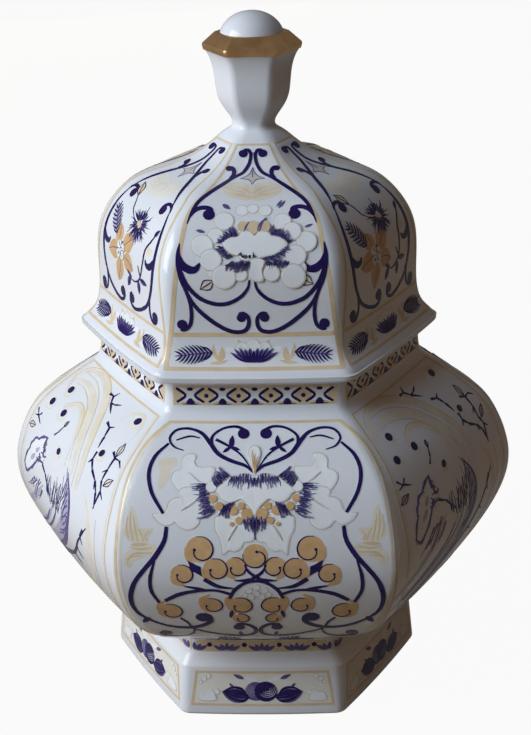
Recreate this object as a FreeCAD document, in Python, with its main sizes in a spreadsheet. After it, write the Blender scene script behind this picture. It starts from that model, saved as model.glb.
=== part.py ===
import FreeCAD, Part
import Sketcher
import math
import os
import re

# A lidded hexagonal porcelain jar, in millimetres.
# The origin is on the table under the jar's middle, +Z is up, and one face of the jar looks along -Y.
# The jar is two loose pieces, and each is cast in parts that are luted together before firing:
# the body and its foot, and the lid's dome, its locating flange and its finial.

doc = FreeCAD.newDocument("potiche")

# Driving dimensions. An apothem is the distance from the axis to the middle of a face.
sizes = {
    # Every face is bowed: it is turned about an upright line this far behind the jar's axis.
    "face_bow": 500.0,
    # How far a cutting shape runs past the piece that it cuts.
    "overrun": 3.0,
    # Foot: a hollow pedestal with a bevelled ledge and a waist above it.
    "foot_height": 36.5,
    "waist_apothem": 55.8,
    "ledge_width": 4.8,
    "foot_batter": 2.2,
    "ledge_height": 28.5,
    "ledge_bevel": 4.0,
    "foot_wall": 5.0,
    "foot_ridge_radius": 6.0,
    "foot_rim_radius": 1.5,
    # Body: the belly, its shoulder and the straight neck, with a flat floor.
    "belly_height": 115.0,
    "belly_apothem": 101.2,
    "neck_height": 15.0,
    "neck_apothem": 62.5,
    "luting_lap": 1.2,
    "body_wall": 5.0,
    "floor_thickness": 6.0,
    "body_ridge_radius": 6.0,
    "cavity_ridge_radius": 8.0,
    # Lid: a dome with a flared lip that hangs round the neck's top.
    "lid_height": 84.0,
    "lid_inset": 0.5,
    "lip_drop": 2.2,
    "lip_gap": 3.0,
    "lip_wall": 4.1,
    "lid_wall": 4.5,
    "crown_thickness": 5.7,
    "lid_ridge_radius": 7.0,
    # Flange: the ring under the lid that keeps it in the neck.
    "flange_depth": 12.0,
    "flange_wall": 4.0,
    "flange_clearance": 1.0,
    # Finial: a stem that opens into a cup, a gilt collar and a round button on top.
    "cup_height": 36.6,
    "stem_apothem": 8.2,
    "stem_base_apothem": 14.2,
    "cup_apothem": 17.8,
    "collar_overhang": 0.4,
    "collar_undercut": 1.2,
    "collar_edge": 1.0,
    "collar_slope": 4.6,
    "button_margin": 0.8,
    "button_radius": 12.8,
    "button_height": 8.3,
    "finial_ridge_radius": 3.6,
    "finial_wall": 4.0,
}

sheet = doc.addObject("Spreadsheet::Sheet", "Sizes")
for row, (alias, value) in enumerate(sizes.items(), start=1):
    sheet.set(f"A{row}", alias)
    sheet.set(f"B{row}", str(value))
    sheet.setAlias(f"B{row}", alias)
doc.recompute()

FACES = 6
FULL_TURN = 360
CORNER_TURN = FULL_TURN // FACES
CURVE_DEGREE = 3
# A sketch's own origin, and its two axes, as geometry numbers.
ORIGIN = (-1, 1)
ACROSS_AXIS = -1
UP_AXIS = -2
CENTRE = 3

# Outlines. A pole is a share of the way across and a share of the height of the part that it shapes.
# The belly's poles below its widest run from the base to the belly, those above from the neck to the belly.
LOWER_BELLY_SHARES = [(0.0, 0.0), (0.158, 0.042), (0.566, 0.135), (0.782, 0.257), (1.0, 0.448)]
UPPER_BELLY_SHARES = [
    (0.995, 0.6), (0.798, 0.773), (0.592, 0.853), (0.183, 0.952), (0.05, 0.975), (0.0, 1.005)]
# How far inwards and upwards the cavity's poles stand from those of the outside, in walls.
LOWER_CAVITY_SHARES = [(-0.2, 0.0), (-0.54, 0.84), (-0.68, 0.73), (-0.88, 0.48), (-0.98, 0.2)]
UPPER_CAVITY_SHARES = [
    (-0.98, -0.19), (-0.86, -0.52), (-0.68, -0.73), (-0.53, -0.85), (-0.68, -0.73), (-0.97, -0.26)]
# The neck's curve runs on a little above the shoulder before it is straight, as a share of the neck.
NECK_START_SHARE = 0.5
# The lid's flare runs from the dome to the lip, and its dome from the finial's base to the dome's side.
FLARE_SHARES = [(1.0, 0.0), (1.03, 0.033), (0.62, 0.067), (0.1, 0.119)]
DOME_SHARES = [
    (0.981, 0.234), (0.994, 0.425), (0.967, 0.591), (0.78, 0.756), (0.561, 0.837), (0.32, 0.87),
    (0.111, 0.933), (0.0, 1.0)]
# The lid's cavity, by the same measures less the wall, from its seat to the underside of its crown.
DOME_CAVITY_SHARES = [
    (0.968, 0.205), (0.98, 0.42), (0.948, 0.563), (0.787, 0.721), (0.617, 0.787), (0.383, 0.819),
    (0.149, 0.89), (0.048, 0.93)]
SEAT_RISE_SHARE = 0.06
# The finial's stem, from its base to its narrowest, and its cup from there to the collar.
STEM_SHARES = [(1.0, 0.0), (0.6, 0.07), (0.02, 0.1), (0.0, 0.2)]
CUP_SHARES = [(0.29, 0.31), (0.61, 0.47), (0.62, 0.75), (0.8, 0.93), (1.0, 1.0)]
# Where the finial's bore opens into its cup, and where it closes, as shares of the cup's height.
BORE_SHARE = 0.4
HOLLOW_WIDTH_SHARE = 0.55
HOLLOW_START_SHARE = 0.52
HOLLOW_END_SHARE = 0.92
# The button's poles, from its edge to its top.
BUTTON_SHARES = [(1.0, 0.0), (0.93, 0.45), (0.58, 1.0), (0.0, 1.0)]
# The round blank that the six faces are cut from, as a share of the widest apothem.
BLANK_SHARE = 1.3
# A ridge lies this near to a corner's direction, as a share of the turn between two corners.
RIDGE_SHARE = 0.02
# A length this small, as a share of the foot's height, counts as none.
FLAT_SHARE = 0.0001


def expand(text):
    """Write each size in an expression as a cell of the sheet."""
    return re.sub(r"[a-z_]+", lambda word: f"Sizes.{word[0]}" if word[0] in sizes else word[0], text)


def value_of(text):
    """The present value of an expression of the sheet's sizes."""
    return float(sheet.evalExpression(expand(text)))


def between(low, high, share):
    """A length that is a share of the way from one size to another."""
    return f"( {low} ) + {share} * ( ( {high} ) - ( {low} ) )"


def origin_feature(body, role):
    """One of a body's own origin planes or axes."""
    return next(feature for feature in body.Origin.OriginFeatures if feature.Role == role)


def new_sketch(body, name, role, level="0"):
    """A sketch on one of the body's origin planes, lifted to a level."""
    sketch = body.newObject("Sketcher::SketchObject", name)
    sketch.AttachmentSupport = (origin_feature(body, role), [""])
    sketch.MapMode = "FlatFace"
    sketch.setExpression(".AttachmentOffset.Base.z", expand(level))
    return sketch


def hold(sketch, geometry, point, place):
    """Hold a point of a sketch at its place, with both lengths bound to the sheet."""
    for kind, axis, text in (("DistanceX", UP_AXIS, place[0]), ("DistanceY", ACROSS_AXIS, place[1])):
        value = value_of(text)
        if value == 0:
            sketch.addConstraint(Sketcher.Constraint("PointOnObject", geometry, point, axis))
        elif value > 0:
            index = sketch.addConstraint(Sketcher.Constraint(kind, *ORIGIN, geometry, point, value))
            sketch.setExpression(f"Constraints[{index}]", expand(text))
        else:
            index = sketch.addConstraint(Sketcher.Constraint(kind, geometry, point, *ORIGIN, -value))
            sketch.setExpression(f"Constraints[{index}]", expand(f"0 - ( {text} )"))


def vector(place):
    """A place of a sketch as a vector, at the present sizes."""
    return FreeCAD.Vector(value_of(place[0]), value_of(place[1]), 0)


def add_curve(sketch, poles):
    """Add a smooth curve to a sketch, with every pole held. Returns the curve's number."""
    vectors = [vector(pole) for pole in poles]
    weight = 1.0
    first = sketch.GeometryCount
    for centre in vectors:
        sketch.addGeometry(Part.Circle(centre, FreeCAD.Vector(0, 0, 1), weight), True)
    spline = Part.BSplineCurve()
    spline.buildFromPoles(vectors, False, CURVE_DEGREE)
    curve = sketch.addGeometry(spline, False)
    for number, pole in enumerate(poles):
        circle = first + number
        if number:
            sketch.addConstraint(Sketcher.Constraint("Equal", first, circle))
        else:
            sketch.addConstraint(Sketcher.Constraint("Weight", circle, weight))
        role = "InternalAlignment:Sketcher::BSplineControlPoint"
        sketch.addConstraint(Sketcher.Constraint(role, circle, CENTRE, curve, number))
    for number, pole in enumerate(poles):
        hold(sketch, first + number, CENTRE, pole)
    return curve


def add_lines(sketch, places, start=None, end=None):
    """Add a run of lines through places, joined to the ends of a curve if those are given."""
    previous = start
    for number in range(len(places) - 1):
        line = sketch.addGeometry(Part.LineSegment(vector(places[number]), vector(places[number + 1])), False)
        if previous:
            sketch.addConstraint(Sketcher.Constraint("Coincident", *previous, line, 1))
        else:
            hold(sketch, line, 1, places[number])
            start_point = (line, 1)
        if number < len(places) - 2:
            hold(sketch, line, 2, places[number + 1])
        previous = (line, 2)
    sketch.addConstraint(Sketcher.Constraint("Coincident", *previous, *(end or start_point)))


def bind(feature, **expressions):
    """Bind properties of a feature to the sheet."""
    for name, text in expressions.items():
        feature.setExpression(name, expand(text))


def azimuth_share(point):
    """How far a point's direction is from the nearest corner, as a share of the turn between corners."""
    turn = math.degrees(math.atan2(point.y, point.x)) / CORNER_TURN
    return abs(turn - round(turn))


def ridge_names(shape):
    """The upright edges where two faces meet."""
    flat = FLAT_SHARE * value_of("foot_height")
    names = []
    for number, edge in enumerate(shape.Edges, start=1):
        middle = edge.valueAt((edge.FirstParameter + edge.LastParameter) / 2)
        if edge.BoundBox.ZLength > flat and azimuth_share(middle) < RIDGE_SHARE:
            names.append(f"Edge{number}")
    return names


def level_names(shape, level):
    """The edges that lie flat at one level."""
    flat = FLAT_SHARE * value_of("foot_height")
    names = []
    for number, edge in enumerate(shape.Edges, start=1):
        box = edge.BoundBox
        if box.ZLength < flat and abs(box.ZMin - value_of(level)) < flat:
            names.append(f"Edge{number}")
    return names


def dress(body, kind, name, base, edges, **expressions):
    """Add a fillet or a chamfer to edges of a feature."""
    feature = body.newObject(f"PartDesign::{kind}", name)
    feature.Base = (base, edges)
    bind(feature, **expressions)
    doc.recompute()
    return feature


def six_faced(name, bottom, top, widest, ridge, curve=(), lines=()):
    """A hexagonal solid: a round blank with one bowed face cut away, and the cut repeated round the axis.

    The face's outline goes from the bottom to the top, as a curve, as lines, or as a curve and then lines.
    """
    body = doc.addObject("PartDesign::Body", name)
    blank_radius = f"{BLANK_SHARE} * ( {widest} )"
    disc = new_sketch(body, f"{name}_disc", "XY_Plane", bottom)
    circle = disc.addGeometry(Part.Circle(FreeCAD.Vector(), FreeCAD.Vector(0, 0, 1), value_of(blank_radius)))
    disc.addConstraint(Sketcher.Constraint("Coincident", circle, CENTRE, *ORIGIN))
    index = disc.addConstraint(Sketcher.Constraint("Radius", circle, value_of(blank_radius)))
    disc.setExpression(f"Constraints[{index}]", expand(blank_radius))
    blank = body.newObject("PartDesign::Pad", f"{name}_blank")
    blank.Profile = disc
    bind(blank, Length=f"( {top} ) - ( {bottom} )")
    doc.recompute()
    blank_volume = blank.Shape.Volume

    face = new_sketch(body, f"{name}_face", "YZ_Plane")
    outline = list(curve) + list(lines)
    outer = f"{blank_radius} + overrun"
    start, end = outline[0], outline[-1]
    below = f"( {start[1]} ) - overrun"
    above = f"( {end[1]} ) + overrun"
    around = [end, (end[0], above), (outer, above), (outer, below), (start[0], below), start]
    if curve:
        number = add_curve(face, curve)
        add_lines(face, [curve[-1]] + list(lines) + around[1:], (number, 2), (number, 1))
    else:
        add_lines(face, outline + around[1:])
    axis_x = "0 - face_bow"
    axis = face.addGeometry(Part.LineSegment(vector((axis_x, "0")), vector((axis_x, "overrun"))), True)
    hold(face, axis, 1, (axis_x, "0"))
    hold(face, axis, 2, (axis_x, "overrun"))

    groove = body.newObject("PartDesign::Groove", f"{name}_cut")
    groove.Profile = face
    groove.ReferenceAxis = (face, ["Axis0"])
    groove.Midplane = True
    bind(groove, Angle=f"2 * atan( {blank_radius} / face_bow )")
    doc.recompute()
    assert groove.Shape.Volume < blank_volume, name

    pattern = body.newObject("PartDesign::PolarPattern", f"{name}_faces")
    pattern.Originals = [groove]
    pattern.Axis = (origin_feature(body, "Z_Axis"), [""])
    pattern.Angle = FULL_TURN
    pattern.Occurrences = FACES
    body.Tip = pattern
    doc.recompute()
    if ridge is None:
        return body, pattern
    return body, dress(body, "Fillet", f"{name}_ridges", pattern, ridge_names(pattern.Shape), Radius=ridge)


def turned(name, bottom, curve=(), lines=()):
    """A round solid: an outline from its bottom edge up to the axis, turned about the axis."""
    body = doc.addObject("PartDesign::Body", name)
    outline = new_sketch(body, f"{name}_outline", "XZ_Plane")
    start = (list(curve) + list(lines))[0]
    around = [("0", bottom), start]
    if curve:
        number = add_curve(outline, curve)
        add_lines(outline, [curve[-1]] + around, (number, 2), (number, 1))
    else:
        add_lines(outline, list(lines) + around)
    turn = body.newObject("PartDesign::Revolution", f"{name}_turn")
    turn.Profile = outline
    turn.ReferenceAxis = (outline, ["V_Axis"])
    turn.Angle = FULL_TURN
    doc.recompute()
    return body


def fuse(name, first, second):
    """Join two shapes."""
    result = doc.addObject("Part::Fuse", name)
    result.Base = first
    result.Tool = second
    return result


pieces = []


def add_piece(label, outside, hollow, level):
    """Make a sub-part: its outside less its hollow, lifted to its level."""
    piece = doc.addObject("Part::Cut", f"{label}_piece")
    piece.Label = label
    piece.Base = outside
    piece.Tool = hollow
    bind(piece, **{"Placement.Base.z": level})
    doc.recompute()
    pieces.append(piece)


# Foot: the base with its bevelled ledge, the waist on it, and the recess below.
ledge_apothem = "( waist_apothem + ledge_width )"
foot_apothem = "( waist_apothem + ledge_width + foot_batter )"
ledge_start = "( ledge_height - ledge_bevel )"
foot_base, foot_top = six_faced(
    "foot_base", "0", "ledge_height", foot_apothem, "foot_ridge_radius",
    lines=[(foot_apothem, "0"), (ledge_apothem, "ledge_height")])
ledge = dress(foot_base, "Chamfer", "ledge", foot_top,
              level_names(foot_top.Shape, "ledge_height"), Size="ledge_bevel")
dress(foot_base, "Fillet", "foot_rim", ledge, level_names(ledge.Shape, "0"), Radius="foot_rim_radius")
waist, _ = six_faced(
    "waist", ledge_start, "foot_height", "waist_apothem", "foot_ridge_radius",
    lines=[("waist_apothem", ledge_start), ("waist_apothem", "foot_height")])
recess_foot = f"{foot_apothem} - foot_wall"
recess_top = "waist_apothem - foot_wall"
recess, _ = six_faced(
    "foot_recess", "0 - overrun", "foot_height + overrun", foot_apothem, "foot_ridge_radius",
    lines=[(recess_foot, "0 - overrun"), (recess_top, "foot_height + overrun")])
add_piece("foot", fuse("foot_outside", foot_base, waist), recess, "0")

# Body: the belly's outside less its cavity, which is open at the neck.
base_apothem = "( waist_apothem + luting_lap )"
neck_top = "belly_height + neck_height"
neck_start = f"belly_height + {NECK_START_SHARE} * neck_height"


def belly_poles(lower_insets, upper_insets):
    """The poles of the belly's curve, moved across and up by the given shares of the wall."""
    poles = []
    for low, shares, insets in ((base_apothem, LOWER_BELLY_SHARES, lower_insets),
                                ("neck_apothem", UPPER_BELLY_SHARES, upper_insets)):
        for (across, up), (inset, lift) in zip(shares, insets):
            poles.append((f"{between(low, 'belly_apothem', across)} + {inset} * body_wall",
                          f"{up} * belly_height + {lift} * body_wall"))
    return poles


no_lower_insets = [(0, 0)] * len(LOWER_BELLY_SHARES)
no_upper_insets = [(0, 0)] * len(UPPER_BELLY_SHARES)
outside = belly_poles(no_lower_insets, no_upper_insets) + [("neck_apothem", neck_start)]
body_outside, _ = six_faced(
    "body_outside", "0", neck_top, "belly_apothem", "body_ridge_radius",
    curve=outside, lines=[("neck_apothem", neck_top)])
inside = belly_poles(LOWER_CAVITY_SHARES, UPPER_CAVITY_SHARES)
inside[0] = (inside[0][0], "floor_thickness")
mouth = "neck_apothem - body_wall"
inside.append((mouth, neck_start))
cavity, _ = six_faced(
    "cavity", "floor_thickness", f"{neck_top} + overrun", "belly_apothem", "cavity_ridge_radius",
    curve=inside, lines=[(mouth, f"{neck_top} + overrun")])
add_piece("jar_body", body_outside, cavity, "foot_height")

# Lid: the dome's outside less its cavity, the recess inside its lip and the vent through its crown.
seat_level = f"foot_height + {neck_top}"
lid_apothem = "( neck_apothem - lid_inset )"
lip_inside = "( neck_apothem + lip_gap )"
lip_apothem = "( neck_apothem + lip_gap + lip_wall )"
flange_outside = "( neck_apothem - body_wall - flange_clearance )"
flange_inside = "( neck_apothem - body_wall - flange_clearance - flange_wall )"
bore_radius = "( stem_apothem - finial_wall )"
dome = [(between(lid_apothem, lip_apothem, across), f"{up} * lid_height") for across, up in FLARE_SHARES]
dome += [(between("stem_base_apothem", lid_apothem, across), f"{up} * lid_height")
         for across, up in DOME_SHARES]
lid_outside, _ = six_faced("lid_outside", "0", "lid_height", lip_apothem, "lid_ridge_radius", curve=dome)
crown_underside = "( lid_height - crown_thickness )"
hollow = [(flange_inside, "lip_drop"), (flange_inside, f"lip_drop + {SEAT_RISE_SHARE} * lid_height")]
hollow += [(f"{between('stem_base_apothem', lid_apothem, across)} - lid_wall", f"{up} * lid_height")
           for across, up in DOME_CAVITY_SHARES]
hollow[-1] = (hollow[-1][0], crown_underside)
lid_cavity, _ = six_faced(
    "lid_cavity", "lip_drop", crown_underside, lid_apothem, "cavity_ridge_radius", curve=hollow)
lip_recess, _ = six_faced(
    "lip_recess", "0 - overrun", "lip_drop", lip_inside, "body_ridge_radius",
    lines=[(lip_inside, "0 - overrun"), (lip_inside, "lip_drop")])
vent = doc.addObject("Part::Cylinder", "vent")
bind(vent, Radius=bore_radius, Height="crown_thickness + 2 * overrun",
     **{"Placement.Base.z": f"{crown_underside} - overrun"})
underside = fuse("lid_underside", lid_cavity, lip_recess)
add_piece("lid_dome", lid_outside, fuse("lid_hollows", underside, vent), f"{seat_level} - lip_drop")

# Flange: a hexagonal ring that hangs in the neck with its clearance all round.
flange_ring, _ = six_faced(
    "flange_ring", "0", "flange_depth", flange_outside, "cavity_ridge_radius",
    lines=[(flange_outside, "0"), (flange_outside, "flange_depth")])
flange_bore, _ = six_faced(
    "flange_bore", "0 - overrun", "flange_depth + overrun", flange_inside, "cavity_ridge_radius",
    lines=[(flange_inside, "0 - overrun"), (flange_inside, "flange_depth + overrun")])
add_piece("lid_flange", flange_ring, flange_bore, f"{seat_level} - flange_depth")

# Finial: the six-sided stem and cup, the collar over it and the round button, with a vented hollow inside.
stem = [(between("stem_apothem", "stem_base_apothem", across), f"{up} * cup_height")
        for across, up in STEM_SHARES]
stem += [(between("stem_apothem", "cup_apothem", across), f"{up} * cup_height")
         for across, up in CUP_SHARES]
widest = "max( stem_base_apothem ; cup_apothem )"
cup, _ = six_faced("cup", "0", "cup_height", widest, "finial_ridge_radius", curve=stem)
collar_apothem = "( cup_apothem + collar_overhang )"
collar_rises = ["cup_height", "collar_undercut", "collar_edge", "collar_slope"]
collar_widths = ["cup_apothem", collar_apothem, collar_apothem, "button_radius + button_margin"]
collar_lines = [(width, " + ".join(collar_rises[:number + 1])) for number, width in enumerate(collar_widths)]
collar_top = " + ".join(collar_rises)
collar = six_faced("collar", "cup_height", collar_top, collar_apothem, None, lines=collar_lines)[0]
button = turned("button", curve=[(f"{across} * button_radius", f"{collar_top} + {up} * button_height")
                                 for across, up in BUTTON_SHARES], bottom=collar_top)
hollow_radius = f"{between('stem_apothem', 'cup_apothem', HOLLOW_WIDTH_SHARE)} - finial_wall"
hollow_end = f"{HOLLOW_END_SHARE} * cup_height"
finial_hollow = turned("finial_hollow", lines=[
    (bore_radius, "0 - overrun"), (bore_radius, f"{BORE_SHARE} * cup_height"),
    (hollow_radius, f"{HOLLOW_START_SHARE} * cup_height"), (hollow_radius, hollow_end), ("0", hollow_end)],
    bottom="0 - overrun")
finial_outside = fuse("finial_outside", fuse("cup_and_collar", cup, collar), button)
add_piece("finial", finial_outside, finial_hollow, f"{seat_level} - lip_drop + lid_height")

doc.recompute()
for thing in doc.Objects:
    if "Invalid" in thing.State or "Error" in thing.State:
        raise RuntimeError(f"{thing.Name} failed")
for piece in pieces:
    if piece.Shape.isNull() or not piece.Shape.isValid() or len(piece.Shape.Solids) != 1:
        raise RuntimeError(f"{piece.Label} is not one valid solid")

os.makedirs("parts", exist_ok=True)
for piece in pieces:
    piece.Shape.exportStep(f"parts/{piece.Label}.step")
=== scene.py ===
import math
import bpy
import numpy as np
from mathutils import Matrix, Vector


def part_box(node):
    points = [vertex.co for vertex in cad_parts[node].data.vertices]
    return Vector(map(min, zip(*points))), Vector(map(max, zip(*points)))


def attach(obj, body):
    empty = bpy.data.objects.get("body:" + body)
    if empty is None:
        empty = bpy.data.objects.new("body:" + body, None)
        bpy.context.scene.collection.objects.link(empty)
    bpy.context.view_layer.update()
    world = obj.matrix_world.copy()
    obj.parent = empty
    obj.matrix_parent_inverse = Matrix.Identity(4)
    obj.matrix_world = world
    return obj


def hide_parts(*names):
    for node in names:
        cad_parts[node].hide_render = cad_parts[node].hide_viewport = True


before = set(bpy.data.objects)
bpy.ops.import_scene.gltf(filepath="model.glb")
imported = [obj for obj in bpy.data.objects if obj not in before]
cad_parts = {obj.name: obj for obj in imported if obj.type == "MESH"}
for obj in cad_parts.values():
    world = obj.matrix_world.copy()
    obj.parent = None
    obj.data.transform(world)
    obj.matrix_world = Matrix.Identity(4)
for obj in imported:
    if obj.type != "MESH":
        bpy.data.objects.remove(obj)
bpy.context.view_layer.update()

# A lidded six-sided porcelain jar with painted panels. Outlines and ornament are in millimetres,
# and everything is turned into metres when a mesh is made. Levels come from the boxes of its solids.
MM = 0.001
FACES = 6
FACE_TURN = 2 * math.pi / FACES
HALF_SIN = math.sin(FACE_TURN / 2)
HALF_COS = math.cos(FACE_TURN / 2)
FACE_BOW = 500.0

FOOT_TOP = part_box("foot")[1].z / MM
JAR_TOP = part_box("jar_body")[1].z / MM
FLANGE_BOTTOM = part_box("lid_flange")[0].z / MM
LID_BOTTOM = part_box("lid_dome")[0].z / MM
LID_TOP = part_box("lid_dome")[1].z / MM
LID_RISE = LID_TOP - LID_BOTTOM
FINIAL_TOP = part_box("finial")[1].z / MM

# Apothems, from the axis to the middle of a face.
FOOT_APOTHEM = 62.8
LEDGE_APOTHEM = 60.6
WAIST_APOTHEM = 55.8
BASE_APOTHEM = 57.0
BELLY_APOTHEM = 101.0
NECK_APOTHEM = 62.5
LID_APOTHEM = 62.0
LIP_APOTHEM = 69.6
CROWN_APOTHEM = 14.2
FLANGE_APOTHEM = 56.5
STEM_APOTHEM = 8.2
CUP_APOTHEM = 17.8
COLLAR_APOTHEM = 18.2
COLLAR_TOP_APOTHEM = 13.6
COLLAR_HOLE = 10.0
BUTTON_RADIUS = 13.1
CENTRE_APOTHEM = 4.0
LEAST_APOTHEM = 0.05

# Heights, walls and radii.
BELLY_HEIGHT = 115.0
LEDGE_HEIGHT = 28.5
LEDGE_BEVEL = 4.0
LIP_DROP = 2.2
LIP_WALL = 4.1
LIP_ROUND = 1.6
BODY_WALL = 5.0
LID_WALL = 4.5
FLANGE_WALL = 4.0
FOOT_WALL = 5.0
FLOOR_THICKNESS = 6.0
CROWN_THICKNESS = 5.7
CUP_HEIGHT = 36.6
COLLAR_EDGE_LOW = 1.2
COLLAR_EDGE_HIGH = 2.2
COLLAR_HEIGHT = 6.8
RIM_ROUND = 1.8
EDGE_ROUND = 1.2
JAR_RIDGE = 6.0
LOW_RIDGE = 15.0
CAVITY_RIDGE = 8.0
LID_RIDGE = 7.0
FINIAL_RIDGE = 4.2
COLLAR_RIDGE = 2.4
LARGEST_RIDGE_SHARE = 0.8
LOW_RIDGE_SHARE = 0.42

# How finely the porcelain is divided, and the angle in degrees above which an edge is sharp.
BELLY_STEPS = 130
DOME_STEPS = 80
CUP_STEPS = 50
BUTTON_STEPS = 16
BUTTON_SIDES = 72
FACE_STEPS = 20
RIDGE_STEPS = 8
CORNER_STEPS = 6
SHARP_ANGLE = 50

# Outlines as poles: a share of the way across and a share of the height.
LOWER_BELLY_SHARES = [(0.0, 0.0), (0.158, 0.042), (0.566, 0.135), (0.782, 0.257), (1.0, 0.448)]
UPPER_BELLY_SHARES = [
    (0.995, 0.6), (0.798, 0.773), (0.592, 0.853), (0.183, 0.952), (0.05, 0.975), (0.0, 1.005)]
NECK_START_SHARE = 0.5
FLARE_SHARES = [(1.0, 0.0), (1.03, 0.033), (0.62, 0.067), (0.1, 0.119)]
DOME_SHARES = [
    (0.981, 0.234), (0.994, 0.425), (0.967, 0.591), (0.78, 0.756), (0.561, 0.837), (0.32, 0.87),
    (0.111, 0.933), (0.0, 1.0)]
STEM_SHARES = [(1.0, 0.0), (0.6, 0.07), (0.02, 0.1), (0.0, 0.2)]
CUP_SHARES = [(0.29, 0.31), (0.61, 0.47), (0.62, 0.75), (0.8, 0.93), (1.0, 1.0)]
BUTTON_SHARES = [(1.0, 0.0), (0.93, 0.45), (0.58, 1.0), (0.0, 1.0)]


def mix(low, high, share):
    """A length that is a share of the way from one to another."""
    return low + (high - low) * share


def spline(poles, count):
    """Points of a clamped uniform cubic B-spline."""
    poles = np.array(poles, float)
    spans = len(poles) - 3
    knots = np.concatenate([np.zeros(3), np.arange(spans + 1), np.full(3, spans)])
    points = []
    for u in np.linspace(0, spans, count):
        span = min(int(u), spans - 1) + 3
        local = poles[span - 3:span + 1].copy()
        for level in range(1, 4):
            for i in range(3, level - 1, -1):
                left = knots[span - 3 + i]
                right = knots[span + 1 + i - level]
                share = (u - left) / (right - left)
                local[i] = (1 - share) * local[i - 1] + share * local[i]
        points.append(local[3])
    return np.array(points)


def rounded(corners):
    """An outline through corners given as (across, up, radius), with each corner rounded by its radius."""
    places = np.array([corner[:2] for corner in corners], float)
    points = [places[0]]
    for number in range(1, len(corners) - 1):
        before, here, after = places[number - 1:number + 2]
        radius = corners[number][2]
        to_before = (before - here) / np.linalg.norm(before - here)
        to_after = (after - here) / np.linalg.norm(after - here)
        half = math.acos(np.clip(to_before @ to_after, -1, 1)) / 2
        if radius <= 0 or half > math.pi / 2 - 1e-3:
            points.append(here)
            continue
        setback = radius / math.tan(half)
        start = here + to_before * setback
        end = here + to_after * setback
        bisector = to_before + to_after
        centre = here + bisector / np.linalg.norm(bisector) * radius / math.sin(half)
        for step in range(CORNER_STEPS + 1):
            point = mix(start, end, step / CORNER_STEPS) - centre
            points.append(centre + point / np.linalg.norm(point) * radius)
    points.append(places[-1])
    return np.array(points)


def section(apothem, ridge, arc):
    """Places and outward directions on a face, by arc length from its middle and on round its ridge."""
    apothem, ridge, arc = np.broadcast_arrays(
        np.asarray(apothem, float), np.asarray(ridge, float), np.asarray(arc, float))
    radius = apothem + FACE_BOW
    centre = np.sqrt((radius - ridge) ** 2 - (FACE_BOW * HALF_SIN) ** 2) - FACE_BOW * HALF_COS
    turn = np.arctan2(centre * HALF_SIN, FACE_BOW + centre * HALF_COS)
    past = np.maximum(np.abs(arc) - radius * turn, 0)
    on_face = past == 0
    angle = np.where(on_face, np.abs(arc) / radius, turn + past / ridge)
    across = np.where(on_face, radius * np.sin(angle), centre * HALF_SIN + ridge * np.sin(angle))
    out = np.where(on_face, radius * np.cos(angle) - FACE_BOW, centre * HALF_COS + ridge * np.cos(angle))
    side = np.sign(arc)
    return side * across, -out, side * np.sin(angle), -np.cos(angle)


def half_section(apothem, ridge):
    """The arc's length from a face's middle to its ridge's start, and to its ridge's middle."""
    radius = apothem + FACE_BOW
    centre = np.sqrt((radius - ridge) ** 2 - (FACE_BOW * HALF_SIN) ** 2) - FACE_BOW * HALF_COS
    turn = np.arctan2(centre * HALF_SIN, FACE_BOW + centre * HALF_COS)
    return radius * turn, radius * turn + ridge * (FACE_TURN / 2 - turn)


def new_piece(name, vertices, faces, body, slot, material, replaces=()):
    """A mesh piece from places in millimetres, riding on a body of the frame."""
    mesh = bpy.data.meshes.new(name)
    mesh.from_pydata((np.asarray(vertices) * MM).tolist(), [], faces)
    mesh.validate()
    mesh.update()
    mesh.materials.append(material)
    piece = bpy.data.objects.new(name, mesh)
    bpy.context.scene.collection.objects.link(piece)
    mesh.shade_smooth()
    mesh.set_sharp_from_angle(angle=math.radians(SHARP_ANGLE))
    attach(piece, body)
    if replaces:
        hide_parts(*replaces)
    return piece


def shell(outline, ridges, closed):
    """A six-faced skin round the axis: rings from an outline of (apothem, height), and their ridge radii.

    A closed outline comes back to its start, and an open one is shut at both ends on the axis.
    """
    outline = np.asarray(outline, float)
    apothem = np.maximum(outline[:, 0], LEAST_APOTHEM)
    ridge = np.minimum(np.broadcast_to(ridges, apothem.shape), apothem * LARGEST_RIDGE_SHARE)
    flat, whole = half_section(apothem, ridge)
    arcs = [flat * share for share in np.linspace(-1, 1, FACE_STEPS + 1)]
    arcs += [mix(flat, 2 * whole - flat, share) for share in np.linspace(0, 1, RIDGE_STEPS + 1)[1:-1]]
    arcs = np.stack(arcs, 1)
    over = arcs > whole[:, None]
    arcs = np.where(over, arcs - 2 * whole[:, None], arcs)
    across, out, _, _ = section(apothem[:, None], ridge[:, None], arcs)
    rings = []
    for face in range(FACES):
        turn = face * FACE_TURN + np.where(over, FACE_TURN, 0)
        cos, sin = np.cos(turn), np.sin(turn)
        rings.append((across * cos - out * sin, across * sin + out * cos))
    x = np.concatenate([ring[0] for ring in rings], 1)
    y = np.concatenate([ring[1] for ring in rings], 1)
    count, around = x.shape
    z = np.repeat(outline[:, 1:2], around, 1)
    vertices = np.stack([x, y, z], 2).reshape(-1, 3).tolist()
    faces = []
    for ring in range(count if closed else count - 1):
        low = ring * around
        high = (ring + 1) % count * around
        for step in range(around):
            after = (step + 1) % around
            faces.append((low + step, low + after, high + after, high + step))
    if not closed:
        for ring, height in ((0, outline[0, 1]), (count - 1, outline[-1, 1])):
            middle = len(vertices)
            vertices.append((0.0, 0.0, height))
            for step in range(around):
                after = (step + 1) % around
                edge = (ring * around + step, ring * around + after)
                faces.append((middle, edge[1], edge[0]) if ring == 0 else (middle, edge[0], edge[1]))
    return vertices, faces


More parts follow.
